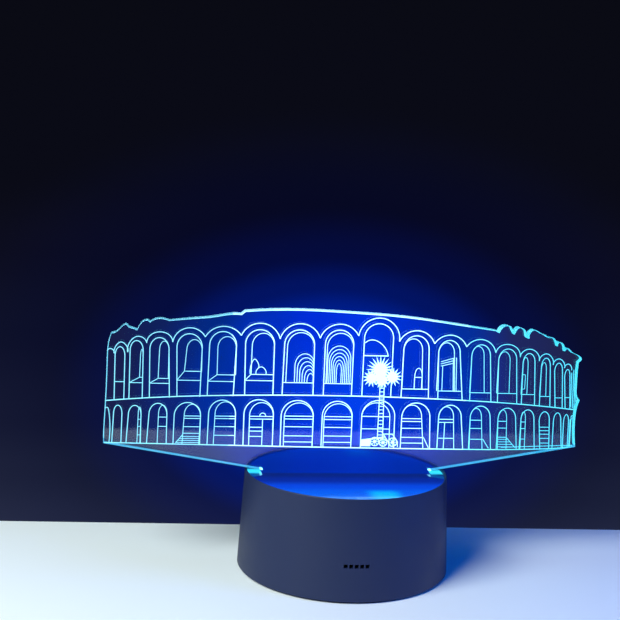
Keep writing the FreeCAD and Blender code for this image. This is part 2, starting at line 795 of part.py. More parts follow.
def make_wires():
    radius = size("wire_radius")
    board_low = size("control_bottom")
    board_high = board_low + size("board_thickness")
    light_low = size("holder_bottom") - size("board_thickness")
    spacing = 2.4 * radius
    leads = []
    for number in range(4):
        x = 6 + number * spacing
        leads.append(wire_tube(f"led_lead_{number}", [
            (x - 14, 4.2, light_low),
            (x - 14, 4.2, light_low - 2.0),
            (x - 9, 7.5, light_low - 1.2),
            (x - 4, 11, board_high + 2.0),
            (x - 2, 14.5, board_high + 2.4),
            (x - 2, 14.5, board_high),
        ], radius))
    keep(group("led_wires", leads), "led_wires")

    bay_top = size("bay_roof") + size("bay_wall")
    leads = []
    for number, side in enumerate((-1, 1)):
        x = side * 26
        leads.append(wire_tube(f"battery_lead_{number}", [
            (x, 8, bay_top),
            (x, 8, bay_top + 3.2),
            (x - side * 3, 14, bay_top + 4.6),
            (x - side * 9, 20, bay_top + 5.0),
            (x - side * 10, 24, board_high + 2.6),
            (x - side * 10, 24, board_high),
        ], radius))
    keep(group("battery_wires", leads), "battery_wires")

    pad_low = size("deck_top") - size("deck_thickness") - 0.4
    pad_y = size("touch_pad_y")
    lead = wire_tube("touch_lead", [
        (0, pad_y, pad_low),
        (0, pad_y, pad_low - 6),
        (-8, pad_y + 5, bay_top + 4),
        (-12, pad_y + 14, bay_top + 1.6),
        (-13, pad_y + 24, bay_top + 1.4),
        (-13, 9.5, board_high + 1.5),
        (-11, 14, board_high + 2.6),
        (-11, 17.5, board_high + 2.4),
        (-11, 17.5, board_high),
    ], radius * 0.7)
    keep(lead, "touch_wire")


# ---------------------------------------------------------------- acrylic plate

# The skyline, from the left shoulder over the top to the right shoulder, as runs of points.
# A run of two points is a straight edge, a longer one is a smooth curve through its points.
SKYLINE = [
    [(-98.5, 50.5), (-98.6, 54), (-98.4, 60), (-97.9, 72), (-97.7, 84), (-97, 92.4), (-96.2, 94.9)],
    [(-96.2, 94.9), (-93.7, 96), (-91.8, 97.9), (-90.4, 98.5), (-89.5, 97.6), (-87.8, 97), (-86.2, 96.3)],
    [(-86.2, 96.3), (-84.9, 98.9), (-83.5, 100.1), (-82, 100.3), (-81.2, 99.6)],
    [(-81.2, 99.6), (-79.9, 100.5), (-76.2, 101.1), (-73.7, 100.4)],
    [(-73.7, 100.4), (-65.3, 101.4), (-55, 102.7), (-47.8, 103.9), (-45.3, 103.8)],
    [(-45.3, 103.8), (-43.7, 105.1)],
    [(-43.7, 105.1), (-20, 106.2), (0, 105.6), (20, 104.5), (40, 102.3), (60, 99.6)],
    [(60, 99.6), (61, 98.8)],
    [(61, 98.8), (62, 100.7), (64.2, 101.8), (65.9, 101.2), (66.7, 99.9), (67.5, 98.3)],
    [(67.5, 98.3), (68.4, 100.2), (69.4, 101), (70.8, 100.8), (72.3, 99.5), (73, 97), (73.9, 96.7)],
    [(73.9, 96.7), (74.6, 99.4), (75.6, 100.1), (79.2, 98.7), (81, 98.2)],
    [(81, 98.2), (82.2, 97.2), (84.2, 97.1), (85.6, 95.7), (86.3, 93.7)],
    [(86.3, 93.7), (87.2, 95.3), (88.4, 94.9), (89.4, 93.3), (89.6, 91.7)],
    [(89.6, 91.7), (91, 92.8), (92.9, 91.2), (95, 90.3), (97.1, 88.7), (96, 87)],
    [(96, 87), (95.8, 83), (95.9, 76), (96.2, 72.9), (97.6, 71)],
    [(97.6, 71), (96.5, 67), (96.2, 62), (96.4, 57), (97.1, 50.9)],
]


def make_plate_blank():
    body = new_body("plate_blank")
    outline = new_sketch(body, "plate_outline", "XZ_Plane", offset="-plate_thickness / 2")
    for run in SKYLINE:
        points = [Vector(x, z, 0) for x, z in run]
        if len(points) == 2:
            index = outline.addGeometry(Part.LineSegment(*points))
        else:
            curve = Part.BSplineCurve()
            curve.interpolate(points)
            index = outline.addGeometry(curve)
        outline.addConstraint(Sketcher.Constraint("Block", index))
    lower = [
        ("right_corner_x", "right_corner_height"),
        ("tongue_half_width", "base_height"),
        ("tongue_half_width", "tongue_bottom"),
        ("-tongue_half_width", "tongue_bottom"),
        ("-tongue_half_width", "base_height"),
        ("-plate_half_width", "shoulder_height"),
    ]
    first = outline.GeometryCount
    corners = [Vector(value_of(x), value_of(z), 0) for x, z in lower]
    for start, end in zip(corners, corners[1:]):
        outline.addGeometry(Part.LineSegment(start, end))
    for index in range(len(lower) - 2):
        outline.addConstraint(Sketcher.Constraint("Coincident", first + index, 2, first + index + 1, 1))
    for index, (x, z) in enumerate(lower[:-1]):
        fix_point(outline, first + index, 1, x, z)
    fix_point(outline, first + len(lower) - 2, 2, *lower[-1])
    extrude(body, "Pad", "plate_slab", outline, "plate_thickness")
    return body


# ---------------------------------------------------------------- engraving

# Every engraved line is a flat band on the plate's front face, in X and Z.
# The face lies at -Y; the bands start just in front of it and are extruded into the plate.
CLEAR_OF_FACE = 0.2


class Engraving:
    """Collects flat bands and turns them into one cutter."""

    def __init__(self):
        self.faces = []
        self.half = size("engraving_line") / 2
        self.plane = -size("plate_thickness") / 2 - CLEAR_OF_FACE

    def point(self, x, z):
        return Vector(x, self.plane, z)

    def add(self, edges):
        self.faces.append(Part.Face(Part.Wire(Part.__sortEdges__(edges))))

    def polygon(self, corners):
        points = [self.point(x, z) for x, z in corners]
        self.faces.append(Part.Face(Part.makePolygon(points + points[:1])))

    def line(self, start, end, scale=1.0):
        """A straight line with square ends, lengthened by half its width at both."""
        run = math.hypot(end[0] - start[0], end[1] - start[1])
        along_x = (end[0] - start[0]) / run * self.half * scale
        along_z = (end[1] - start[1]) / run * self.half * scale
        self.polygon([
            (start[0] - along_x - along_z, start[1] - along_z + along_x),
            (end[0] + along_x - along_z, end[1] + along_z + along_x),
            (end[0] + along_x + along_z, end[1] + along_z - along_x),
            (start[0] - along_x + along_z, start[1] - along_z - along_x),
        ])

    def path(self, points, scale=1.0):
        for start, end in zip(points, points[1:]):
            self.line(start, end, scale)

    def arc(self, start, middle, end, scale=1.0):
        """A band along the circle through three points."""
        circle = Part.Arc(self.point(*start), self.point(*middle), self.point(*end)).toShape().Curve
        centre = circle.Center
        sides = []
        for radius in (circle.Radius - self.half * scale, circle.Radius + self.half * scale):
            ends = []
            for point in (start, middle, end):
                spoke = (self.point(*point) - centre).normalize()
                ends.append(centre + spoke * radius)
            sides.append(ends)
        inner, outer = sides
        self.add([
            Part.Arc(*inner).toShape(),
            Part.LineSegment(inner[2], outer[2]).toShape(),
            Part.Arc(*outer).toShape(),
            Part.LineSegment(outer[0], inner[0]).toShape(),
        ])

    def curve(self, points, scale=1.0):
        """A band along a smooth curve through a few points."""
        line = Part.BSplineCurve()
        line.interpolate([self.point(*point) for point in points])
        sides = ([], [])
        first, last = line.FirstParameter, line.LastParameter
        steps = 2 * len(points)
        for step in range(steps + 1):
            parameter = first + (last - first) * step / steps
            centre = line.value(parameter)
            along = line.tangent(parameter)[0]
            across = Vector(-along.z, 0, along.x) * self.half * scale
            sides[0].append(centre + across)
            sides[1].append(centre - across)
        edges = []
        for side in sides:
            edge = Part.BSplineCurve()
            edge.interpolate(side)
            edges.append(edge.toShape())
        edges.append(Part.LineSegment(sides[0][0], sides[1][0]).toShape())
        edges.append(Part.LineSegment(sides[0][-1], sides[1][-1]).toShape())
        self.add(edges)

    def half_ellipse(self, middle, spring, half_width, rise):
        """The upper half of an upright ellipse, as an edge."""
        centre = self.point(middle, spring)
        side = self.point(middle + half_width, spring)
        top = self.point(middle, spring + rise)
        if math.isclose(half_width, rise):
            return Part.Arc(side, top, self.point(middle - half_width, spring)).toShape()
        if half_width > rise:
            return Part.Arc(Part.Ellipse(side, top, centre), 0, math.pi).toShape()
        return Part.Arc(Part.Ellipse(top, side, centre), -math.pi / 2, math.pi / 2).toShape()

    def arch(self, left, right, apex, foot, left_foot=None, right_foot=None, scale=1.0):
        """A round-headed opening: two legs and the half ellipse over them, in one band."""
        left_foot = left if left_foot is None else left_foot
        right_foot = right if right_foot is None else right_foot
        middle = (left + right) / 2
        half_width = (right - left) / 2
        rise = arch_rise(half_width)
        spring = apex - rise
        half = self.half * scale
        edges = []
        for side in (1, -1):
            edges.append(self.half_ellipse(middle, spring, half_width + side * half, rise + side * half))
            for top, bottom, sign in ((left, left_foot, -1), (right, right_foot, 1)):
                edges.append(Part.LineSegment(
                    self.point(top + sign * side * half, spring),
                    self.point(bottom + sign * side * half, foot),
                ).toShape())
        for bottom in (left_foot, right_foot):
            edges.append(Part.LineSegment(
                self.point(bottom - half, foot),
                self.point(bottom + half, foot),
            ).toShape())
        self.add(edges)

    def disc(self, x, z, radius):
        circle = Part.makeCircle(radius, self.point(x, z), Vector(0, 1, 0))
        self.faces.append(Part.Face(Part.Wire(circle)))

    def ring(self, x, z, radius, scale=1.0):
        outer = Part.Wire(Part.makeCircle(radius + self.half * scale, self.point(x, z), Vector(0, 1, 0)))
        inner = Part.Wire(Part.makeCircle(radius - self.half * scale, self.point(x, z), Vector(0, 1, 0)))
        self.faces.append(Part.Face(outer).cut(Part.Face(inner)).Faces[0])

    def star(self, x, z, outer, inner, count, start=0.0):
        """A burst of pointed leaves round a centre."""
        corners = []
        for step in range(2 * count):
            angle = math.radians(start) + math.pi * step / count
            radius = outer if step % 2 == 0 else inner
            corners.append((x + radius * math.cos(angle), z + radius * math.sin(angle)))
        self.polygon(corners)

    def clip_last(self, low_x, high_x):
        """Keep only the part of the last band that lies between two upright lines."""
        top = size("plate_half_width") * 2
        corners = [self.point(x, z) for x, z in ((low_x, 0), (high_x, 0), (high_x, top), (low_x, top))]
        window = Part.Face(Part.makePolygon(corners + corners[:1]))
        self.faces[-1:] = self.faces[-1].common(window).Faces

    def cutter(self):
        joined = Part.makeShell(self.faces[0].multiFuse(self.faces[1:]).Faces).removeSplitter()
        depth = size("engraving_depth") + CLEAR_OF_FACE
        solids = [face.extrude(Vector(0, depth, 0)) for face in joined.Faces]
        return Part.makeCompound(solids)


def arch_rise(half_width):
    """Height of an arch's round head: foreshortening narrows the end arches, not their height."""
    return 2.4 + 0.6 * half_width


# One row per arch. left and right are the opening's jambs at the spring, left_foot and right_foot
# the same at the floor line. inner is the far edge of the opening seen through it, which shares the
# right jamb on the left half of the building and the left jamb on the right half.
Bay = namedtuple("Bay", "left left_foot right right_foot apex inner inner_foot inner_apex levels")

UPPER_BAYS = [
    Bay(-94.5, -94.6, -90.7, -90.8, 89.5, None, None, None, (75.5,)),
    Bay(-88.7, -88.8, -83.6, -83.6, 92.1, -84.6, -84.8, 88.6, (75.2, 77.4)),
    Bay(-81, -80.8, -73.5, -72.9, 93.5, -77.2, -77.5, 92.1, (75.1, 77.1)),
    Bay(-70.4, -69.9, -60.4, -60.8, 95.3, -66.5, -67.2, 93, (76.5, 80.2)),
    Bay(-57.5, -57.9, -46.8, -47.5, 96.5, -54.2, -54.2, 94.5, (76.3, 79)),
    Bay(-43.2, -42.9, -31.6, -31.5, 97.6, -40.5, -40.6, 96.2, (76.9, 79.4)),
    Bay(-27.5, -27.8, -15.4, -15.2, 97.9, -26.3, -26.5, 96.8, (76.3,)),
    Bay(-11, -11, 0.6, 0.6, 98.2, -10.1, -10.1, 96.9, (76.2,)),
    Bay(4.9, 4.9, 16.9, 16.9, 101.2, None, None, None, ()),
    Bay(21.4, 21.2, 31.9, 32.7, 96.6, 29.2, 29.8, 95.3, (74.5,)),
    Bay(36, 36.7, 45, 47, 95, 42.6, 43.5, 94, (73.9,)),
    Bay(50, 50.2, 57.9, 59.3, 93.5, 55.2, 56.2, 92.8, (73.4,)),
    Bay(61.5, 62.1, 69.2, 70.4, 92, 66.4, 66.8, 90.8, (73.3,)),
    Bay(72, 72.4, 77.1, 78.1, 90.3, 74.2, 74.5, 88.6, (73,)),
    Bay(80, 80.2, 83.8, 84.8, 88.5, 82.2, 82.7, 86.6, (72.3,)),
    Bay(85.8, 87.1, 89.2, 90.2, 86.5, None, None, None, (71.8,)),
    Bay(90.3, 91.5, 92.6, 93.6, 83.9, None, None, None, (72,)),
]

LOWER_BAYS = [
    Bay(-94.7, -95.2, -91.4, -91.6, 66, None, None, None, ()),
    Bay(-88.9, -89.6, -83.9, -84.1, 66, -85, -85.3, 65.4, (60.4, 57.5, 54)),
    Bay(-80.8, -81.5, -73.7, -73.7, 67, -77, -77.3, 66.2, (61.4, 57.6)),
    Bay(-70.8, -71, -60.3, -60.7, 67.5, -66.8, -67.4, 66.8, (62, 61, 57.6, 54.9)),
    Bay(-57.1, -57.4, -46.3, -46.3, 68.7, -54.5, -54.9, 68, (62.1, 61.1, 57.8, 54.2)),
    Bay(-42.9, -42.9, -31, -31, 69.1, -40.6, -40.6, 67.9, (62.2, 61.1)),
    Bay(-27.8, -27.8, -14.7, -14.7, 69, -26.5, -26.5, 68, (62.5, 61.3, 58.1, 54.3, 51.8)),
    Bay(-11, -11, 1.3, 1.3, 68.9, -10.2, -10.2, 67.9, (62.5, 61.3, 58, 54.4, 51.8)),
    Bay(5.3, 5.3, 19, 19.2, 69.5, 17, 17.2, 68.5, (62.8, 57.6)),
    Bay(22, 22, 33.8, 34.4, 68.7, 30.3, 31.6, 67.8, (62.1, 60.9, 58, 54.2, 51.8)),
    Bay(37.5, 37.5, 47.1, 48.5, 68, 43.8, 44.7, 67.3, (62, 60.7, 54)),
    Bay(50.9, 51.2, 59.4, 60.4, 67.8, 55.7, 56.8, 66.8, (61.8, 58.3, 53.7)),
    Bay(62.8, 63.3, 70.4, 71.5, 67.1, 66.5, 67.1, 66.3, (61.5, 58.6, 54.7)),
    Bay(72.7, 73.1, 78.3, 79.3, 66.5, 74.6, 75, 65.6, (61.3, 58.5, 54)),
    Bay(80.6, 81.7, 85, 85.6, 65.8, None, None, None, (59.2, 57.7, 56.2, 54.4, 52.4)),
    Bay(86.8, 87, 90, 91, 65.4, None, None, None, ()),
    Bay(91.2, 91.5, 93.4, 93.6, 64.7, None, None, None, ()),
]

# Valleys between the scallops over the upper arches, and the top of each scallop.
VALLEYS = [
    (-98.2, 86), (-94.8, 86.8), (-89.6, 87.4), (-82.3, 91.2), (-72.1, 91.8), (-59.3, 94.2), (-45, 95.1),
    (-29.4, 94.1), (-13.2, 94.7), (2.5, 96), (19.4, 94.1), (34.1, 93.5), (47.6, 92.5), (60.1, 90.3),
    (70.6, 88.7), (78.9, 87.2), (85, 85.7), (90, 84.5), (93.1, 83.6),
]
SCALLOP_TOPS = [
    (-96.4, 88.7), (-92.3, 91.4), (-85.9, 93.8), (-77, 95.8), (-65, 97.7), (-52, 98.6), (-37.3, 100.2),
    (-21.6, 100.4), (-5.4, 100.6), (10.5, 103.5), (26.4, 98.7), (40.6, 97.2), (53.6, 95.7), (65.3, 93.9),
    (74.7, 92.1), (81.9, 90.3), (87.4, 88.3), (91.6, 86.2),
]
SCALLOP_HALF_WIDTH_FOR_ARC = 5.5

MIDDLE_FLOOR = [(-98, 67.8), (-80, 69.3), (-40, 70.9), (0, 71.2), (40, 70.4), (70, 69), (95.8, 66.8)]
LOWER_FLOOR = [(-98.2, 50.8), (-60, 50.3), (0, 49.6), (40, 49.4), (75, 49.6), (97.8, 50.9)]


def level_at(line, x):
    """Height of a floor line at one place along it."""
    for (x0, z0), (x1, z1) in zip(line, line[1:]):
        if x <= x1:
            return z0 + (z1 - z0) * (x - x0) / (x1 - x0)
    return line[-1][1]


def crossing(top, foot, height, spring, floor):
    """Where a slanting jamb is at one height."""
    share = min(max((spring - height) / (spring - floor), 0), 1)
    return top + (foot - top) * share


def shares_right_jamb(bay):
    """The far edge shares the right jamb on the left half of the building, the left jamb elsewhere."""
    return bay.right < 3


def engrave_far_edge(art, bay, foot):
    if shares_right_jamb(bay):
        art.arch(bay.inner, bay.right, bay.inner_apex, foot, bay.inner_foot, bay.right, 0.8)
    else:
        art.arch(bay.left, bay.inner, bay.inner_apex, foot, bay.left, bay.inner_foot, 0.8)


def engrave_level(art, bay, height, spring, floor, start_at_far_edge):
    """A floor or rail across an opening, from jamb to jamb or from the far edge to its jamb."""
    low = (bay.left, bay.left_foot)
    high = (bay.right, bay.right_foot)
    if start_at_far_edge and shares_right_jamb(bay):
        low = (bay.inner, bay.inner_foot)
    elif start_at_far_edge:
        high = (bay.inner, bay.inner_foot)
    start = crossing(*low, height, spring, floor)
    end = crossing(*high, height, spring, floor)
    art.line((start, height), (end, height), 0.8)


def engrave_upper_storey(art):
    """Each opening has a sill; the far edge stands on it, or on a ledge behind it."""
    for bay in UPPER_BAYS:
        floor = level_at(MIDDLE_FLOOR, (bay.left + bay.right) / 2)
        spring = bay.apex - arch_rise((bay.right - bay.left) / 2)
        art.arch(bay.left, bay.right, bay.apex, floor, bay.left_foot, bay.right_foot)
        if bay.inner is not None:
            engrave_far_edge(art, bay, bay.levels[-1])
        for number, height in enumerate(bay.levels):
            engrave_level(art, bay, height, spring, floor, number > 0)
        if len(bay.levels) > 1:
            sill, ledge = bay.levels
            jamb = crossing(bay.left, bay.left_foot, sill, spring, floor)
            art.line((jamb, sill), (bay.inner_foot, ledge), 0.8)


def engrave_lower_storey(art):
    """Each opening has rails between its far edge and the jamb that the far edge shares."""
    for bay in LOWER_BAYS:
        floor = level_at(LOWER_FLOOR, (bay.left + bay.right) / 2)
        spring = bay.apex - arch_rise((bay.right - bay.left) / 2)
        art.arch(bay.left, bay.right, bay.apex, floor, bay.left_foot, bay.right_foot)
        if bay.inner is not None:
            engrave_far_edge(art, bay, floor)
        for height in bay.levels:
            engrave_level(art, bay, height, spring, floor, bay.inner is not None)


def engrave_scallops(art):
    for start, top, end in zip(VALLEYS, SCALLOP_TOPS, VALLEYS[1:]):
        half_width = (end[0] - start[0]) / 2
        if half_width > SCALLOP_HALF_WIDTH_FOR_ARC:
            art.arc(start, top, end)
        else:
            quarter = 0.3
            shoulder = 0.72
            rise_left = top[1] - start[1]
            rise_right = top[1] - end[1]
            art.curve([
                start,
                (start[0] + (top[0] - start[0]) * quarter, start[1] + rise_left * shoulder),
                top,
                (end[0] - (end[0] - top[0]) * quarter, end[1] + rise_right * shoulder),
                end,
            ])


def engrave_receding_vaults(art):
    """The passages seen through the two middle arches: arch behind arch."""
    floor = 76.2
    right_jamb = -15.3
    for step in range(6):
        half_width = 4.7 - 0.74 * step
        art.arch(-5 - half_width, -5 + half_width, 91.7 - 1.45 * step, floor, scale=0.7)
    for step in range(6):
        left = -23 + 1.02 * step
        middle = -19 + 0.5 * step
        art.arch(left, 2 * middle - left, 88.2 - 1.6 * step, floor, scale=0.7)
        art.clip_last(left - 1, right_jamb)


def engrave_upper_details(art):
    # small vaults low in one left bay
    art.curve([(-40.4, 79.6), (-40.4, 84.2), (-39.3, 85.6), (-38.2, 84.6), (-37.9, 81.8)], 0.8)
    art.curve([(-38.6, 79.6), (-38.2, 81.5), (-36.6, 82.5), (-35.1, 81.6), (-34.7, 79.5)], 0.8)
    # half vault and beam behind the palm's crown
    art.curve([(5.3, 93.2), (8.3, 94.5), (12, 93), (14.2, 90.4), (15, 88)], 0.9)
    art.line((5, 88), (15, 88), 1.1)
    # doorway in the bay right of the palm
    art.arch(26.5, 29.6, 83.2, 74.5, scale=0.8)
    art.line((26.5, 79.4), (29.6, 79.4), 0.7)
    # slanting lintel and posts
    for lift in (0, 0.9, 1.8):
        art.line((37.3, 84.3 + lift), (42.9, 85.7 + 1.15 * lift), 0.7)
    art.line((38, 84.3), (38.2, 74), 0.7)
    art.line((42.3, 87.4), (43, 74), 1.0)
    art.line((43.6, 87.8), (44.2, 74), 0.7)
    # bracket in a right bay
    art.path([(72.2, 81.5), (73.4, 81.2), (73.4, 75.4), (72.3, 75.2)], 0.7)
    # crowded jambs where the wall turns away
    for x, top, foot in ((93.4, 82.4, 68.2), (94.2, 83.6, 67.6), (94.9, 84.2, 67.3), (95.5, 80, 70.4)):
        art.line((x - 0.1, top), (x + 0.4, foot), 0.9)


def engrave_lower_details(art):
    # steps at the foot of two passages
    for left, right, foot_left, foot_right, low, high in (
        (-67.6, -60.7, -69.9, -60.7, 51.1, 53.6),
        (63.4, 67.2, 63.4, 70.6, 50.6, 53.8),
    ):
        for step in range(4):
            share = step / 3
            height = high + (low - high) * share
            art.line(
                (left + (foot_left - left) * share, height),
                (right + (foot_right - right) * share, height),
                0.7,
            )
    art.line((-67.4, 54.2), (-69.9, 51), 0.8)
    for top, foot in (((31.6, 54.2), (33.8, 50)), ((56.9, 53.7), (59.4, 50)), ((67.1, 54.4), (70.8, 50.4))):
        art.line(top, foot, 0.8)
    # shelves, post and lamp in one left bay
    art.line((-35.3, 61.1), (-35.3, 50.3), 0.8)
    for height in (57.7, 56.1, 53.9):
        art.line((-40.6, height), (-35.3, height), 0.8)
    art.arc((-36.5, 62.3), (-35.3, 63.6), (-34.1, 62.3), 0.8)
    # post between the rails of one right bay
    art.line((40.2, 60.7), (40.2, 49.6), 0.8)
    # half arch at the far left and a narrow one at the far right
    art.curve([(-98.1, 64.6), (-97.3, 65.1), (-96.6, 64)], 0.9)
    art.curve([(-96.6, 64), (-96.2, 61), (-96.3, 50.8)], 0.9)
    art.curve([(94.4, 62.4), (95, 64.2), (95.7, 63.2), (95.8, 62)], 0.9)
    art.line((94.2, 62.4), (94.4, 51.4), 1.8)


def engrave_edges(art):
    """Floor lines, and the line that follows the plate's two ends."""
    art.curve(MIDDLE_FLOOR, 1.2)
    art.curve(LOWER_FLOOR, 1.2)
    art.line((65, 50.4), (95.6, 51.6), 0.8)


def engrave_palm(art):
    """Palm tree: two bursts of leaves, hanging leaves, and a ringed trunk."""
    art.star(12, 82.3, 5.9, 2.5, 20)
    art.star(17.3, 79.3, 4.1, 1.9, 14, 8)
    art.star(8.6, 78.7, 3.8, 1.8, 13, 5)
    art.star(12.9, 77.9, 3.5, 1.9, 12, 3)
    art.disc(12.4, 79.6, 2)
    art.line((12.3, 76), (12.2, 53), 0.9)
    art.line((14, 76), (14.4, 53), 0.9)
    for step in range(15):
        height = 74.6 - 1.5 * step
        art.line((12.2, height), (14.1, height), 0.7)
    art.line((13.9, 56.5), (17.3, 51.5), 0.9)


def engrave_carriage(art):
    """Small carriage at the palm's foot: a box, its shafts and three spoked wheels."""
    art.polygon([(5.4, 50.3), (9.4, 50.3), (9.4, 53.6), (5.4, 53.1)])
    art.line((9.2, 53.4), (15.4, 54.3), 1.2)
    for x, z, radius in ((11.2, 52.3, 1.75), (14.7, 51.9, 1.55), (18.7, 52.1, 1.75)):
        art.ring(x, z, radius)
        art.disc(x, z, 0.6)
        for step in range(4):
            angle = math.pi * step / 4
            reach_x = radius * math.cos(angle)
            reach_z = radius * math.sin(angle)
            art.line((x - reach_x, z - reach_z), (x + reach_x, z + reach_z), 0.55)
    art.path([(15, 55.5), (18.4, 55.5), (20.8, 52.2), (20.8, 50.3)], 0.9)


def make_engraving_cutter():
    art = Engraving()
    engrave_edges(art)
    engrave_scallops(art)
    engrave_upper_storey(art)
    engrave_lower_storey(art)
    engrave_receding_vaults(art)
    engrave_upper_details(art)
    engrave_lower_details(art)
    engrave_palm(art)
    engrave_carriage(art)
    cutter = doc.addObject("Part::Feature", "engraving_cutter")
    cutter.Shape = art.cutter()
    return cutter


def make_acrylic_plate():
    blank = make_plate_blank()
    keep(cut("acrylic_plate", blank, make_engraving_cutter()), "acrylic_plate")


# ---------------------------------------------------------------- build and write


def build():
    make_base_housing()
    make_top_panel()
    make_bottom_cover()
    make_battery_door()
    make_feet()
    make_plate_holder()
    make_light_board()
    make_cells()
    make_contacts()
    make_control_board()
    make_usb_socket()
    make_ir_receiver()
    make_touch_pad()
    make_screws()
    make_wires()
    make_acrylic_plate()
    doc.recompute()


def check():
    for obj in doc.Objects:
        if "Invalid" in obj.State or "Error" in obj.State:
            raise RuntimeError(f"{obj.Label} failed: {obj.State}")
    for obj in subparts:
        if obj.Shape.isNull() or not obj.Shape.isValid() or not obj.Shape.Solids:
            raise RuntimeError(f"{obj.Label} has no valid solid")


def write():
    os.makedirs("parts", exist_ok=True)
    for obj in subparts:
        obj.Shape.exportStep(f"parts/{obj.Label}.step")


build()
check()
write()
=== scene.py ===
import math
from collections import namedtuple

import bmesh
import bpy
from mathutils import Matrix, Vector


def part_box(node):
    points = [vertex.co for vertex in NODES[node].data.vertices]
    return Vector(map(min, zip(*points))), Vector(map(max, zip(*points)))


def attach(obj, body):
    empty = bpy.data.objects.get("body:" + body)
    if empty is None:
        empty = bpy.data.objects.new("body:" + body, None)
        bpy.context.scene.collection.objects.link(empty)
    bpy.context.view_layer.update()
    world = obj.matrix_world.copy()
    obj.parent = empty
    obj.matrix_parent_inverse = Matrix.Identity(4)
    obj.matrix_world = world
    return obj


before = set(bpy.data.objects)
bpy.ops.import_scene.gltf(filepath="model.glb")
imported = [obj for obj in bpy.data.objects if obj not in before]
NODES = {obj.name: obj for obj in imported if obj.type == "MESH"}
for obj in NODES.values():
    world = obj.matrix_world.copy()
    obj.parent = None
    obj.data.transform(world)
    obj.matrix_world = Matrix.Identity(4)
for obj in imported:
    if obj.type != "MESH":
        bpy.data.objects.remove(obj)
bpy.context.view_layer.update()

MM = 0.001

# The lamp stands at the origin, its plate across X and its engraved face towards -Y.
PLATE_LOW, PLATE_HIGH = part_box("acrylic_plate")
PLATE_FRONT = PLATE_LOW[1]
PLATE_BACK = PLATE_HIGH[1]
PLATE_HALF_WIDTH = PLATE_HIGH[0]
PANEL_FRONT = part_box("top_panel")[0][1]
RIM_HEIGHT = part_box("base_housing")[1][2]
# Below the shoulders the plate's edge slopes down to the tongue. Nearer the middle than the second value
# it is the bright edge at the slot.
SHOULDER_TOP = 52 * MM
SLOT_LIGHT_REACH = 35.8 * MM


# ---------------------------------------------------------------- camera, floor and light

# Angles in degrees, lens in millimetres, the rest in metres.
CAMERA_AIM = Vector((-0.0176, 0.0, 0.1058))
CAMERA_DISTANCE = 0.4179
CAMERA_AZIMUTH = 7.23
CAMERA_ELEVATION = 6.98
CAMERA_ROLL = 2.39
CAMERA_LENS = 60.2
NEAREST_SEEN = 0.01

FLOOR_HALF_WIDTH = 0.75
FLOOR_FRONT = -0.23
FLOOR_BACK = 0.0463
FLOOR_BACK_SLOPE = -0.0436


def add_camera():
    """Camera in front of the lamp, a little above it and to its left."""
    azimuth = math.radians(CAMERA_AZIMUTH)
    elevation = math.radians(CAMERA_ELEVATION)
    forward = Vector((
        math.sin(azimuth) * math.cos(elevation),
        math.cos(azimuth) * math.cos(elevation),
        -math.sin(elevation),
    ))
    data = bpy.data.cameras.new("camera")
    data.lens = CAMERA_LENS
    data.clip_start = NEAREST_SEEN
    camera = bpy.data.objects.new("camera", data)
    bpy.context.collection.objects.link(camera)
    level = forward.to_track_quat("-Z", "Y").to_matrix().to_4x4()
    roll = Matrix.Rotation(math.radians(CAMERA_ROLL), 4, "Z")
    place = Matrix.Translation(CAMERA_AIM - forward * CAMERA_DISTANCE)
    camera.matrix_world = place @ level @ roll
    bpy.context.scene.camera = camera


def add_floor():
    """Pale table top. Its back edge lies just behind the lamp, a little nearer on the right."""
    slant = FLOOR_BACK_SLOPE * FLOOR_HALF_WIDTH
    corners = [
        (-FLOOR_HALF_WIDTH, FLOOR_FRONT, 0),
        (FLOOR_HALF_WIDTH, FLOOR_FRONT, 0),
        (FLOOR_HALF_WIDTH, FLOOR_BACK + slant, 0),
        (-FLOOR_HALF_WIDTH, FLOOR_BACK - slant, 0),
    ]
    mesh = bpy.data.meshes.new("floor")
    mesh.from_pydata(corners, [], [(0, 1, 2, 3)])
    floor = bpy.data.objects.new("floor", mesh)
    bpy.context.collection.objects.link(floor)
    floor.data.materials.append(floor_material())


def floor_material():
    """Plain pale card, slightly cool."""
    parts = new_material("floor_card")
    parts.shader.inputs["Roughness"].default_value = 0.55
    parts.shader.inputs["Base Color"].default_value = (0.8, 0.85, 0.9, 1)
    return parts.material


def add_area_light(name, place, aim, side, energy, colour):
    """Square area light, hidden from the camera, pointed at a place on the table."""
    data = bpy.data.lights.new(name, "AREA")
    data.shape = "RECTANGLE"
    data.size = side
    data.size_y = side
    data.energy = energy
    data.color = colour
    light = bpy.data.objects.new(name, data)
    light.location = place
    light.rotation_euler = (Vector(aim) - Vector(place)).to_track_quat("-Z", "Y").to_euler()
    light.visible_camera = False
    bpy.context.collection.objects.link(light)


def add_lights():
    """Cool white softbox at the front left, and a blue one that takes over on the right."""
    add_area_light(
        "softbox", place=(-0.36, -0.3, 0.42), aim=(-0.08, -0.05, 0), side=0.3, energy=5.0,
        colour=(0.92, 1.0, 0.96),
    )
    add_area_light(
        "blue_fill", place=(0.33, -0.18, 0.17), aim=(0.08, -0.04, 0), side=0.15, energy=1.0,
        colour=(0.0, 0.16, 1.0),
    )


# The haze round the lit plate, by its distance from one direction of view, as a share of its reach.
HAZE_DIRECTION = (0.15, 0.97, -0.2)
HAZE_WIDENING = 1.5
HAZE_REACH = 0.4
HAZE_STOPS = (
    (0.0, (0.0, 0.03, 0.3, 1)),
    (0.2, (0.0, 0.012, 0.24, 1)),
    (0.26, (0.0, 0.006, 0.12, 1)),
    (0.335, (0.0, 0.002, 0.043, 1)),
    (0.457, (0.0, 0.0005, 0.012, 1)),
    (0.7, (0.0, 0.0, 0.001, 1)),
    (1.0, (0.0, 0.0, 0.0, 1)),
)
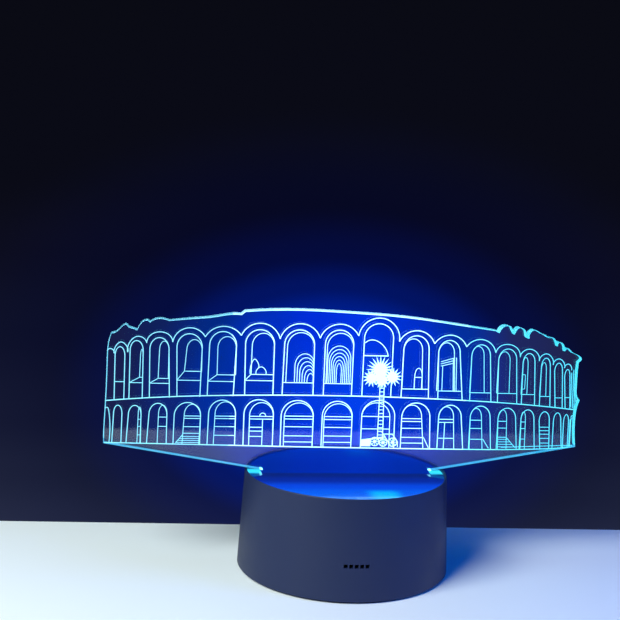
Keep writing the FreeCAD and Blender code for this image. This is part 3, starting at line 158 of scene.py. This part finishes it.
# The room's own faint light, by the height of the direction of view. The haze hides it near the plate.
DUSK_LOW = -0.32
DUSK_HIGH = 0.0
DUSK_HIDDEN = 0.2 * HAZE_REACH
DUSK_CLEAR = 0.6 * HAZE_REACH
DUSK_STOPS = (
    (0.0, (0.019, 0.024, 0.052, 1)),
    (0.15, (0.0135, 0.017, 0.037, 1)),
    (0.3, (0.009, 0.011, 0.026, 1)),
    (0.55, (0.0052, 0.0062, 0.0155, 1)),
    (0.78, (0.0038, 0.004, 0.0095, 1)),
    (1.0, (0.003, 0.0033, 0.007, 1)),
)


def add_world():
    """Near-black room, lighter low down, with blue haze behind the lit plate."""
    world = bpy.data.worlds.new("dark_room")
    bpy.context.scene.world = world
    world.use_nodes = True
    nodes = world.node_tree.nodes
    links = world.node_tree.links
    direction = nodes.new("ShaderNodeTexCoord").outputs["Generated"]
    distance = distance_from_haze(nodes, links, direction)
    total = nodes.new("ShaderNodeVectorMath")
    total.operation = "ADD"
    links.new(haze_light(nodes, links, distance), total.inputs[0])
    links.new(dusk_light(nodes, links, direction, distance), total.inputs[1])
    links.new(total.outputs["Vector"], nodes["Background"].inputs["Color"])


def distance_from_haze(nodes, links, direction):
    """How far a direction of view is from the middle of the haze, which is wider than it is high."""
    offset = nodes.new("ShaderNodeVectorMath")
    offset.operation = "SUBTRACT"
    offset.inputs[1].default_value = HAZE_DIRECTION
    squeeze = nodes.new("ShaderNodeVectorMath")
    squeeze.operation = "MULTIPLY"
    squeeze.inputs[1].default_value = (1 / HAZE_WIDENING, 1, 1)
    distance = nodes.new("ShaderNodeVectorMath")
    distance.operation = "LENGTH"
    links.new(direction, offset.inputs[0])
    links.new(offset.outputs["Vector"], squeeze.inputs[0])
    links.new(squeeze.outputs["Vector"], distance.inputs[0])
    return distance.outputs["Value"]


def haze_light(nodes, links, distance):
    """Blue haze that fades with the distance from its middle."""
    reach = nodes.new("ShaderNodeMapRange")
    reach.inputs["From Max"].default_value = HAZE_REACH
    haze = colour_ramp(nodes, HAZE_STOPS)
    links.new(distance, reach.inputs["Value"])
    links.new(reach.outputs["Result"], haze.inputs["Fac"])
    return haze.outputs["Color"]


def dusk_light(nodes, links, direction, distance):
    """Faint grey light, lighter low down, that gives way to the haze."""
    split = nodes.new("ShaderNodeSeparateXYZ")
    height = nodes.new("ShaderNodeMapRange")
    height.inputs["From Min"].default_value = DUSK_LOW
    height.inputs["From Max"].default_value = DUSK_HIGH
    dusk = colour_ramp(nodes, DUSK_STOPS)
    veil = nodes.new("ShaderNodeMapRange")
    veil.inputs["From Min"].default_value = DUSK_HIDDEN
    veil.inputs["From Max"].default_value = DUSK_CLEAR
    faded = nodes.new("ShaderNodeVectorMath")
    faded.operation = "SCALE"
    links.new(direction, split.inputs["Vector"])
    links.new(split.outputs["Z"], height.inputs["Value"])
    links.new(height.outputs["Result"], dusk.inputs["Fac"])
    links.new(distance, veil.inputs["Value"])
    links.new(dusk.outputs["Color"], faded.inputs[0])
    links.new(veil.outputs["Result"], faded.inputs["Scale"])
    return faded.outputs["Vector"]


def colour_ramp(nodes, stops, interpolation="EASE"):
    """Ramp through (position, colour) stops."""
    ramp = nodes.new("ShaderNodeValToRGB")
    ramp.color_ramp.interpolation = interpolation
    elements = ramp.color_ramp.elements
    elements[0].position, elements[0].color = stops[0]
    elements[1].position, elements[1].color = stops[-1]
    for position, colour in stops[1:-1]:
        elements.new(position).color = colour
    return ramp


# ---------------------------------------------------------------- material helpers


MaterialParts = namedtuple("MaterialParts", "material shader nodes links")
PATCH_DETAIL = 3.0
PATCH_START = 0.35
PATCH_END = 0.65


def new_material(name):
    """A new material with the parts of its node tree that the looks need."""
    material = bpy.data.materials.new(name)
    material.use_nodes = True
    nodes = material.node_tree.nodes
    return MaterialParts(material, nodes["Principled BSDF"], nodes, material.node_tree.links)


def add_grain(parts, scale, strength, depth, detail=4.0):
    """Fine moulded grain, as a bump from object-space noise."""
    coordinates = parts.nodes.new("ShaderNodeTexCoord")
    noise = parts.nodes.new("ShaderNodeTexNoise")
    noise.inputs["Scale"].default_value = scale
    noise.inputs["Detail"].default_value = detail
    bump = parts.nodes.new("ShaderNodeBump")
    bump.inputs["Strength"].default_value = strength
    bump.inputs["Distance"].default_value = depth
    parts.links.new(coordinates.outputs["Object"], noise.inputs["Vector"])
    parts.links.new(noise.outputs["Fac"], bump.inputs["Height"])
    parts.links.new(bump.outputs["Normal"], parts.shader.inputs["Normal"])


def add_roughness(parts, scale, low, high):
    """Soft patches of roughness between two values."""
    coordinates = parts.nodes.new("ShaderNodeTexCoord")
    noise = parts.nodes.new("ShaderNodeTexNoise")
    noise.inputs["Scale"].default_value = scale
    noise.inputs["Detail"].default_value = PATCH_DETAIL
    ramp = colour_ramp(parts.nodes, ((PATCH_START, grey(low)), (PATCH_END, grey(high))), "LINEAR")
    parts.links.new(coordinates.outputs["Object"], noise.inputs["Vector"])
    parts.links.new(noise.outputs["Fac"], ramp.inputs["Fac"])
    parts.links.new(ramp.outputs["Color"], parts.shader.inputs["Roughness"])


def grey(value):
    return (value, value, value, 1)


# ---------------------------------------------------------------- materials of the base


def satin_plastic():
    """Dark satin moulding, with painted blue light from the lit plate in its colour."""
    parts = new_material("satin_black_plastic")
    # Dark plastic; the strong blue in this colour is painted light from the plate's blue glow.
    parts.shader.inputs["Base Color"].default_value = (0.009, 0.017, 0.062, 1)
    parts.shader.inputs["Specular IOR Level"].default_value = 0.35
    add_roughness(parts, 60, 0.4, 0.5)
    add_grain(parts, 2200, 0.25, 0.06 * MM)
    return parts.material


# Light that spills from the slot over the glossy panel, from its front rim (0) to the plate (1).
SPILL_STOPS = (
    (0.0, (0.0, 0.2, 1.0, 1)),
    (0.3, (0.0, 0.13, 1.0, 1)),
    (0.5, (0.0, 0.07, 0.85, 1)),
    (0.72, (0.0, 0.022, 0.36, 1)),
    (0.92, (0.0, 0.015, 0.2, 1)),
    (1.0, (0.0, 0.02, 0.25, 1)),
)
# The mirror image of the bright foot of the palm, and the light that escapes at the slot's ends.
PALM_IMAGE_X = 10.5 * MM
PALM_IMAGE_Y = -32.5 * MM
PALM_IMAGE_REACH = 8.5 * MM
PALM_IMAGE_LIGHT = (0.0, 0.4, 0.3)
SLOT_END = 35.2 * MM
SLOT_END_HALF_WIDTH = 4.8 * MM
SLOT_END_LIGHT = (0.05, 0.95, 1.1)
# Share of a soft band's reach that is at full strength.
BAND_CORE = 0.25


def gloss_panel():
    """Piano-black panel, washed with the plate's light."""
    parts = new_material("gloss_black_panel")
    parts.shader.inputs["Base Color"].default_value = (0.004, 0.005, 0.008, 1)
    parts.shader.inputs["Specular IOR Level"].default_value = 0.5
    add_roughness(parts, 90, 0.05, 0.11)
    add_grain(parts, 300, 0.04, 0.02 * MM, detail=1.0)
    spill = colour_ramp(parts.nodes, SPILL_STOPS)
    parts.links.new(position_along(parts, "Y", PANEL_FRONT, PLATE_FRONT), spill.inputs["Fac"])
    sideways = soft_band(parts, "X", PALM_IMAGE_X, PALM_IMAGE_REACH)
    forwards = soft_band(parts, "Y", PALM_IMAGE_Y, PALM_IMAGE_REACH)
    glow = add_light(parts, spill.outputs["Color"], sideways, forwards, PALM_IMAGE_LIGHT)
    outside = parts.nodes.new("ShaderNodeMath")
    outside.operation = "GREATER_THAN"
    outside.inputs[1].default_value = SLOT_END
    parts.links.new(distance_from(parts, "X", 0.0), outside.inputs[0])
    in_line = soft_band(parts, "Y", 0.0, SLOT_END_HALF_WIDTH)
    glow = add_light(parts, glow, outside.outputs["Value"], in_line, SLOT_END_LIGHT)
    parts.links.new(glow, parts.shader.inputs["Emission Color"])
    parts.shader.inputs["Emission Strength"].default_value = 0.85
    return parts.material


def distance_from(parts, axis, middle):
    """How far a point is from one plane across an axis of the object."""
    coordinates = parts.nodes.new("ShaderNodeTexCoord")
    split = parts.nodes.new("ShaderNodeSeparateXYZ")
    shift = parts.nodes.new("ShaderNodeMath")
    shift.operation = "SUBTRACT"
    shift.inputs[1].default_value = middle
    away = parts.nodes.new("ShaderNodeMath")
    away.operation = "ABSOLUTE"
    parts.links.new(coordinates.outputs["Object"], split.inputs["Vector"])
    parts.links.new(split.outputs[axis], shift.inputs[0])
    parts.links.new(shift.outputs["Value"], away.inputs[0])
    return away.outputs["Value"]


def soft_band(parts, axis, middle, reach):
    """1 at a plane across an axis, falling smoothly to 0 at the reach on both sides."""
    fade = parts.nodes.new("ShaderNodeMapRange")
    fade.interpolation_type = "SMOOTHSTEP"
    fade.inputs["From Min"].default_value = reach
    fade.inputs["From Max"].default_value = BAND_CORE * reach
    parts.links.new(distance_from(parts, axis, middle), fade.inputs["Value"])
    return fade.outputs["Result"]


def add_light(parts, base, first, second, light):
    """Add one colour of light where both masks are open."""
    mask = parts.nodes.new("ShaderNodeMath")
    mask.operation = "MULTIPLY"
    tint = parts.nodes.new("ShaderNodeVectorMath")
    tint.operation = "SCALE"
    tint.inputs[0].default_value = light
    total = parts.nodes.new("ShaderNodeVectorMath")
    total.operation = "ADD"
    parts.links.new(first, mask.inputs[0])
    parts.links.new(second, mask.inputs[1])
    parts.links.new(mask.outputs["Value"], tint.inputs["Scale"])
    parts.links.new(base, total.inputs[0])
    parts.links.new(tint.outputs["Vector"], total.inputs[1])
    return total.outputs["Vector"]


def position_along(parts, axis, start, end):
    """How far a point is along one axis of the object, from 0 at start to 1 at end."""
    coordinates = parts.nodes.new("ShaderNodeTexCoord")
    split = parts.nodes.new("ShaderNodeSeparateXYZ")
    share = parts.nodes.new("ShaderNodeMapRange")
    share.inputs["From Min"].default_value = start
    share.inputs["From Max"].default_value = end
    parts.links.new(coordinates.outputs["Object"], split.inputs["Vector"])
    parts.links.new(split.outputs[axis], share.inputs["Value"])
    return share.outputs["Result"]


def plain_plastic(name, colour, roughness, grain=900):
    """Plain moulding or epoxy of one colour."""
    parts = new_material(name)
    parts.shader.inputs["Base Color"].default_value = (*colour, 1)
    add_roughness(parts, 150, roughness - 0.06, roughness + 0.06)
    add_grain(parts, grain, 0.2, 0.05 * MM)
    return parts.material


def rubber():
    """Matt black foot."""
    parts = new_material("foot_rubber")
    parts.shader.inputs["Base Color"].default_value = (0.02, 0.02, 0.021, 1)
    add_roughness(parts, 300, 0.75, 0.9)
    add_grain(parts, 1500, 0.5, 0.1 * MM)
    return parts.material


def plated_metal(name, colour, roughness=0.25):
    """Metal with a lightly worn surface."""
    parts = new_material(name)
    parts.shader.inputs["Base Color"].default_value = (*colour, 1)
    parts.shader.inputs["Metallic"].default_value = 1.0
    add_roughness(parts, 400, roughness, roughness + 0.15)
    add_grain(parts, 1200, 0.12, 0.03 * MM)
    return parts.material


def circuit_board(name, mask, track):
    """Solder mask with raised copper tracks in a square weave."""
    parts = new_material(name)
    coordinates = parts.nodes.new("ShaderNodeTexCoord")
    tracks = parts.nodes.new("ShaderNodeTexBrick")
    tracks.inputs["Scale"].default_value = 160
    tracks.inputs["Mortar Size"].default_value = 0.06
    tracks.inputs["Color1"].default_value = (*mask, 1)
    tracks.inputs["Color2"].default_value = (*(0.8 * value for value in mask), 1)
    tracks.inputs["Mortar"].default_value = (*track, 1)
    bump = parts.nodes.new("ShaderNodeBump")
    bump.inputs["Strength"].default_value = 0.3
    bump.inputs["Distance"].default_value = 0.04 * MM
    parts.links.new(coordinates.outputs["Object"], tracks.inputs["Vector"])
    parts.links.new(tracks.outputs["Color"], parts.shader.inputs["Base Color"])
    parts.links.new(tracks.outputs["Fac"], bump.inputs["Height"])
    parts.links.new(bump.outputs["Normal"], parts.shader.inputs["Normal"])
    parts.shader.inputs["Roughness"].default_value = 0.35
    return parts.material


def led_package():
    """White package that is lit from inside."""
    parts = new_material("led_lit_package")
    parts.shader.inputs["Base Color"].default_value = (0.85, 0.88, 0.85, 1)
    parts.shader.inputs["Emission Color"].default_value = (0.1, 0.45, 1.0, 1)
    parts.shader.inputs["Emission Strength"].default_value = 6.0
    add_grain(parts, 800, 0.1, 0.03 * MM)
    return parts.material


# Colours along a cell: bare can, dark sleeve, gold sleeve, bare can.
CELL_BANDS = (
    (0.0, grey(0.6)),
    (0.03, (0.03, 0.1, 0.07, 1)),
    (0.75, (0.45, 0.3, 0.12, 1)),
    (0.97, grey(0.6)),
)


def cell_wrap():
    """Two-tone sleeve on a plated can."""
    parts = new_material("cell_wrap")
    low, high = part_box("aa_cell_2")
    along = position_along(parts, "X", low[0], high[0])
    bands = colour_ramp(parts.nodes, CELL_BANDS, "CONSTANT")
    parts.links.new(along, bands.inputs["Fac"])
    parts.links.new(bands.outputs["Color"], parts.shader.inputs["Base Color"])
    parts.shader.inputs["Metallic"].default_value = 0.6
    parts.shader.inputs["Roughness"].default_value = 0.3
    add_grain(parts, 500, 0.08, 0.03 * MM)
    return parts.material


# Light scattered inside the plate, from its left end (0) to its right end (1).
GLOW_STOPS = (
    (0.0, (0.006, 0.007, 0.02, 1)),
    (0.1, (0.003, 0.009, 0.045, 1)),
    (0.22, (0.0, 0.013, 0.09, 1)),
    (0.32, (0.0, 0.014, 0.24, 1)),
    (0.42, (0.0, 0.014, 0.39, 1)),
    (0.53, (0.0, 0.022, 0.47, 1)),
    (0.63, (0.0, 0.016, 0.33, 1)),
    (0.74, (0.0, 0.018, 0.18, 1)),
    (0.86, (0.01, 0.014, 0.055, 1)),
    (1.0, (0.01, 0.011, 0.03, 1)),
)
# The engraving ends at the shoulders. Below it the plate scatters less light.
SHADE_STOPS = (
    (0.0, (0.35, 0.4, 0.48, 1)),
    (1.0, (1.0, 1.0, 1.0, 1)),
)
SHADE_BOTTOM = 47.5 * MM
SHADE_TOP = 51.5 * MM


def clear_acrylic():
    """Cast acrylic with a blue haze that is strongest over the light row."""
    parts = new_material("clear_acrylic")
    parts.shader.inputs["Base Color"].default_value = (0.86, 0.94, 1.0, 1)
    parts.shader.inputs["Transmission Weight"].default_value = 1.0
    parts.shader.inputs["IOR"].default_value = 1.49
    haze = colour_ramp(parts.nodes, GLOW_STOPS)
    shade = colour_ramp(parts.nodes, SHADE_STOPS)
    product = parts.nodes.new("ShaderNodeVectorMath")
    product.operation = "MULTIPLY"
    parts.links.new(position_along(parts, "X", -PLATE_HALF_WIDTH, PLATE_HALF_WIDTH), haze.inputs["Fac"])
    parts.links.new(position_along(parts, "Z", SHADE_BOTTOM, SHADE_TOP), shade.inputs["Fac"])
    parts.links.new(haze.outputs["Color"], product.inputs[0])
    parts.links.new(shade.outputs["Color"], product.inputs[1])
    parts.links.new(product.outputs["Vector"], parts.shader.inputs["Emission Color"])
    parts.shader.inputs["Emission Strength"].default_value = 0.6
    add_roughness(parts, 120, 0.015, 0.05)
    return parts.material


def paint_nodes():
    """Give every CAD node its finished material."""
    moulding = satin_plastic()
    steel = plated_metal("nickel_plate", (0.62, 0.61, 0.58))
    green_board = circuit_board("green_board", (0.01, 0.13, 0.05), (0.05, 0.25, 0.1))
    lead = plain_plastic("lead_sleeve", (0.45, 0.03, 0.02), 0.4, 400)
    # A node takes the first look whose start its name has, so led_board and led_wires come before led_.
    looks = {
        "base_housing": moulding,
        "bottom_cover": moulding,
        "battery_door": moulding,
        "top_panel": gloss_panel(),
        "acrylic_plate": clear_acrylic(),
        "plate_holder": plain_plastic("white_moulding", (0.8, 0.82, 0.82), 0.45),
        "led_board": circuit_board("white_board", (0.8, 0.82, 0.82), (0.7, 0.72, 0.74)),
        "led_wires": lead,
        "led_": led_package(),
        "battery_wires": lead,
        "touch_wire": lead,
        "touch_pad": plated_metal("copper_foil", (0.75, 0.36, 0.18), 0.3),
        "control_board": green_board,
        "control_chip": plain_plastic("chip_epoxy", (0.015, 0.015, 0.016), 0.6, 1500),
        "capacitors": plated_metal("can_aluminium", (0.5, 0.5, 0.55), 0.3),
        "ir_board": green_board,
        "ir_receiver": plain_plastic("receiver_epoxy", (0.02, 0.016, 0.02), 0.2, 600),
        "aa_cell": cell_wrap(),
        "rubber_foot": rubber(),
        "usb_socket": steel,
        "contact_": steel,
        "housing_screws": steel,
        "holder_screws": steel,
        "board_screws": steel,
    }
    for name, node in NODES.items():
        node.data.materials.clear()
        node.data.materials.append(next(look for start, look in looks.items() if name.startswith(start)))


# ---------------------------------------------------------------- lit engraving

GROOVE_DEPTH = 0.3 * MM
LINE_GAP = 0.02 * MM
LINE_THICKNESS = 0.2 * MM
# How exactly a face has to lie at its depth, how nearly it has to face along Y, and which points are one.
GROOVE_TOLERANCE = 0.03 * MM
BACK_TOLERANCE = 0.01 * MM
FACING = 0.9
SAME_POINT = 0.002 * MM
# Places from the plate's left end (-1) to its right (1) where one lit piece ends and the next begins.
ZONE_EDGES = (-1.0, -0.82, -0.66, -0.5, -0.34, 0.37, 0.5, 0.64, 0.82, 1.0)

# Light that leaves an engraved line or an edge, at places from the plate's left end (-1) to its right (1).
LINE_LIGHT = (
    (-1.0, (0.15, 0.75, 0.95)),
    (-0.55, (0.26, 0.85, 1.1)),
    (-0.42, (0.68, 1.4, 1.7)),
    (0.1, (0.85, 1.6, 1.8)),
    (0.4, (0.6, 1.4, 1.7)),
    (0.57, (0.18, 1.0, 1.25)),
    (0.75, (0.06, 0.8, 1.0)),
    (1.0, (0.04, 0.8, 1.0)),
)
SLOPE_LIGHT = (0.0, 0.32, 0.57)
SLOT_LIGHT = (0.8, 3.2, 4.0)


def glow_material(name, light):
    """Frosted acrylic that scatters the plate's light."""
    parts = new_material(name)
    strength = max(light)
    parts.shader.inputs["Base Color"].default_value = (0.16, 0.26, 0.32, 1)
    parts.shader.inputs["Emission Color"].default_value = (*(value / strength for value in light), 1)
    parts.shader.inputs["Emission Strength"].default_value = strength
    parts.shader.inputs["Roughness"].default_value = 0.7
    add_grain(parts, 3000, 0.3, 0.05 * MM)
    return parts.material


def line_light(position):
    """Light of a line or an edge at one place across the plate, between the stops of LINE_LIGHT."""
    for (low, first), (high, second) in zip(LINE_LIGHT, LINE_LIGHT[1:]):
        if position <= high:
            share = (position - low) / (high - low)
            return tuple(a + (b - a) * share for a, b in zip(first, second))
    return LINE_LIGHT[-1][1]


def zone_light(zone):
    """Light in the middle of one zone."""
    return line_light((ZONE_EDGES[zone] + ZONE_EDGES[zone + 1]) / 2)


def new_piece(name, part, material, body):
    """Turn a finished bmesh into an object that rides on a body."""
    mesh = bpy.data.meshes.new(name)
    part.to_mesh(mesh)
    part.free()
    mesh.materials.append(material)
    piece = bpy.data.objects.new(name, mesh)
    bpy.context.collection.objects.link(piece)
    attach(piece, body)


def plate_faces(wanted):
    """The plate's faces that pass a test, as a mesh of their own with its points joined."""
    source = bmesh.new()
    source.from_mesh(NODES["acrylic_plate"].data)
    spare = [face for face in source.faces if not wanted(face)]
    bmesh.ops.delete(source, geom=spare, context="FACES")
    bmesh.ops.remove_doubles(source, verts=source.verts, dist=SAME_POINT)
    return source


def on_groove_floor(face):
    """Whether a face of the plate is part of the floor of its engraved grooves."""
    depth = face.calc_center_median().y - PLATE_FRONT
    return abs(depth - GROOVE_DEPTH) <= GROOVE_TOLERANCE and abs(face.normal.y) >= FACING


def on_back(face):
    """Whether a face of the plate is part of its plain back."""
    return face.normal.y >= FACING and abs(face.calc_center_median().y - PLATE_BACK) <= BACK_TOLERANCE


def add_engraved_lines():
    """One closed piece of lit line for each zone. The outer zones run on to the plate's ends."""
    for zone, (low, high) in enumerate(zip(ZONE_EDGES, ZONE_EDGES[1:])):
        part = plate_faces(on_groove_floor)
        for edge, clear_outer in ((low, False), (high, True)):
            if abs(edge) < 1.0:
                bmesh.ops.bisect_plane(
                    part,
                    geom=part.verts[:] + part.edges[:] + part.faces[:],
                    dist=0.0,
                    plane_co=(edge * PLATE_HALF_WIDTH, 0, 0),
                    plane_no=(1, 0, 0),
                    clear_outer=clear_outer,
                    clear_inner=not clear_outer,
                )
        close_sheet(part, LINE_GAP, LINE_THICKNESS)
        material = glow_material(f"lit_line_{zone + 1}", zone_light(zone))
        new_piece(f"engraved_line_{zone + 1}", part, material, "plate")


def close_sheet(part, gap, thickness):
    """Move a flat sheet forwards off the groove floor and thicken it into closed solids."""
    bmesh.ops.recalc_face_normals(part, faces=part.faces)
    back = part.faces[:]
    for vertex in part.verts:
        vertex.co.y -= gap
    front = bmesh.ops.extrude_face_region(part, geom=back)
    for item in front["geom"]:
        if isinstance(item, bmesh.types.BMVert):
            item.co.y -= thickness
    bmesh.ops.recalc_face_normals(part, faces=part.faces)


# ---------------------------------------------------------------- lit edge of the plate

EDGE_INSET = 0.03 * MM
LONGEST_RUN = 1.0 * MM
EDGE_THICKNESS_MIDDLE = 0.5 * MM
EDGE_THICKNESS_END = 0.16 * MM
# Shares of the plate's half width between which the band gets thinner.
THICK_AS_FAR_AS = 0.45
THIN_FROM = 0.75


def outline_loop():
    """The plate's outline, from the border of its plain back face, as an ordered closed list of (x, z)."""
    source = plate_faces(on_back)
    border = [edge for edge in source.edges if edge.is_boundary]
    start = border[0].verts[0]
    loop = []
    previous = None
    current = start
    while True:
        loop.append((current.co.x, current.co.z))
        following = next(
            edge.other_vert(current)
            for edge in current.link_edges
            if edge.is_boundary and edge.other_vert(current) is not previous
        )
        previous, current = current, following
        if current is start:
            break
    source.free()
    area = sum(a[0] * b[1] - b[0] * a[1] for a, b in zip(loop, loop[1:] + loop[:1]))
    return loop if area > 0 else loop[::-1]


def divided(loop, longest):
    """The same outline with its long straight runs cut into equal short ones."""
    points = []
    for start, end in zip(loop, loop[1:] + loop[:1]):
        pieces = max(1, math.ceil(math.dist(start, end) / longest))
        for step in range(pieces):
            share = step / pieces
            points.append((start[0] + (end[0] - start[0]) * share, start[1] + (end[1] - start[1]) * share))
    return points


def inward(loop, index, distance):
    """A point of the outline moved into the plate."""
    before = Vector(loop[index - 1])
    here = Vector(loop[index])
    after = Vector(loop[(index + 1) % len(loop)])
    normal = Vector((0.0, 0.0))
    for start, end in ((before, here), (here, after)):
        run = end - start
        if run.length > 0:
            run.normalize()
            normal += Vector((-run.y, run.x))
    normal.normalize()
    return here + normal * distance


def edge_thickness(point):
    """The lit band is broad over the light row and thin at the plate's ends and shoulders."""
    if point.y < SHOULDER_TOP:
        return EDGE_THICKNESS_END
    away = abs(point.x) / PLATE_HALF_WIDTH
    share = min(max((THIN_FROM - away) / (THIN_FROM - THICK_AS_FAR_AS), 0.0), 1.0)
    return EDGE_THICKNESS_END + (EDGE_THICKNESS_MIDDLE - EDGE_THICKNESS_END) * share


def sort_stretches(loop):
    """The outline's runs above the rim, by the side of the plate and the zone they are in."""
    stretches = {}
    for index, start in enumerate(loop):
        following = loop[(index + 1) % len(loop)]
        x = (start[0] + following[0]) / 2
        z = (start[1] + following[1]) / 2
        if z < RIM_HEIGHT:
            continue
        if z > SHOULDER_TOP:
            side = "upper"
        elif abs(x) < SLOT_LIGHT_REACH:
            side = "slot"
        else:
            side = "slope"
        zone = sum(x / PLATE_HALF_WIDTH > edge for edge in ZONE_EDGES[1:-1])
        stretches.setdefault((side, zone), []).append(index)
    return stretches


def edge_ring(part, loop, index):
    """The four corners of a lit band where it crosses one point of the outline."""
    outer = inward(loop, index, EDGE_INSET)
    inner = inward(loop, index, EDGE_INSET + edge_thickness(outer))
    low = PLATE_FRONT + EDGE_INSET
    high = PLATE_BACK - EDGE_INSET
    return [
        part.verts.new((outer.x, low, outer.y)),
        part.verts.new((outer.x, high, outer.y)),
        part.verts.new((inner.x, high, inner.y)),
        part.verts.new((inner.x, low, inner.y)),
    ]


def edge_band(loop, indices):
    """A closed band along some runs of the outline, capped where they end."""
    part = bmesh.new()
    rings = {}
    uses = {}
    for index in indices:
        ends = (index, (index + 1) % len(loop))
        for end in ends:
            if end not in rings:
                rings[end] = edge_ring(part, loop, end)
            uses[end] = uses.get(end, 0) + 1
        first, second = (rings[end] for end in ends)
        for corner in range(4):
            following = (corner + 1) % 4
            part.faces.new((first[corner], second[corner], second[following], first[following]))
    for end, times in uses.items():
        if times == 1:
            part.faces.new(rings[end])
    bmesh.ops.recalc_face_normals(part, faces=part.faces)
    return part


def add_lit_edges():
    """Thin lit bands just inside the plate's cut edge, one piece for each stretch."""
    loop = divided(outline_loop(), LONGEST_RUN)
    for (side, zone), indices in sort_stretches(loop).items():
        light = {"upper": zone_light(zone), "slope": SLOPE_LIGHT, "slot": SLOT_LIGHT}[side]
        name = f"lit_edge_{side}_{zone + 1}"
        new_piece(name, edge_band(loop, indices), glow_material(f"{name}_glow", light), "plate")


# ---------------------------------------------------------------- build

bpy.context.scene.view_settings.view_transform = "Standard"
add_camera()
add_floor()
add_world()
add_lights()
paint_nodes()
add_engraved_lines()
add_lit_edges()
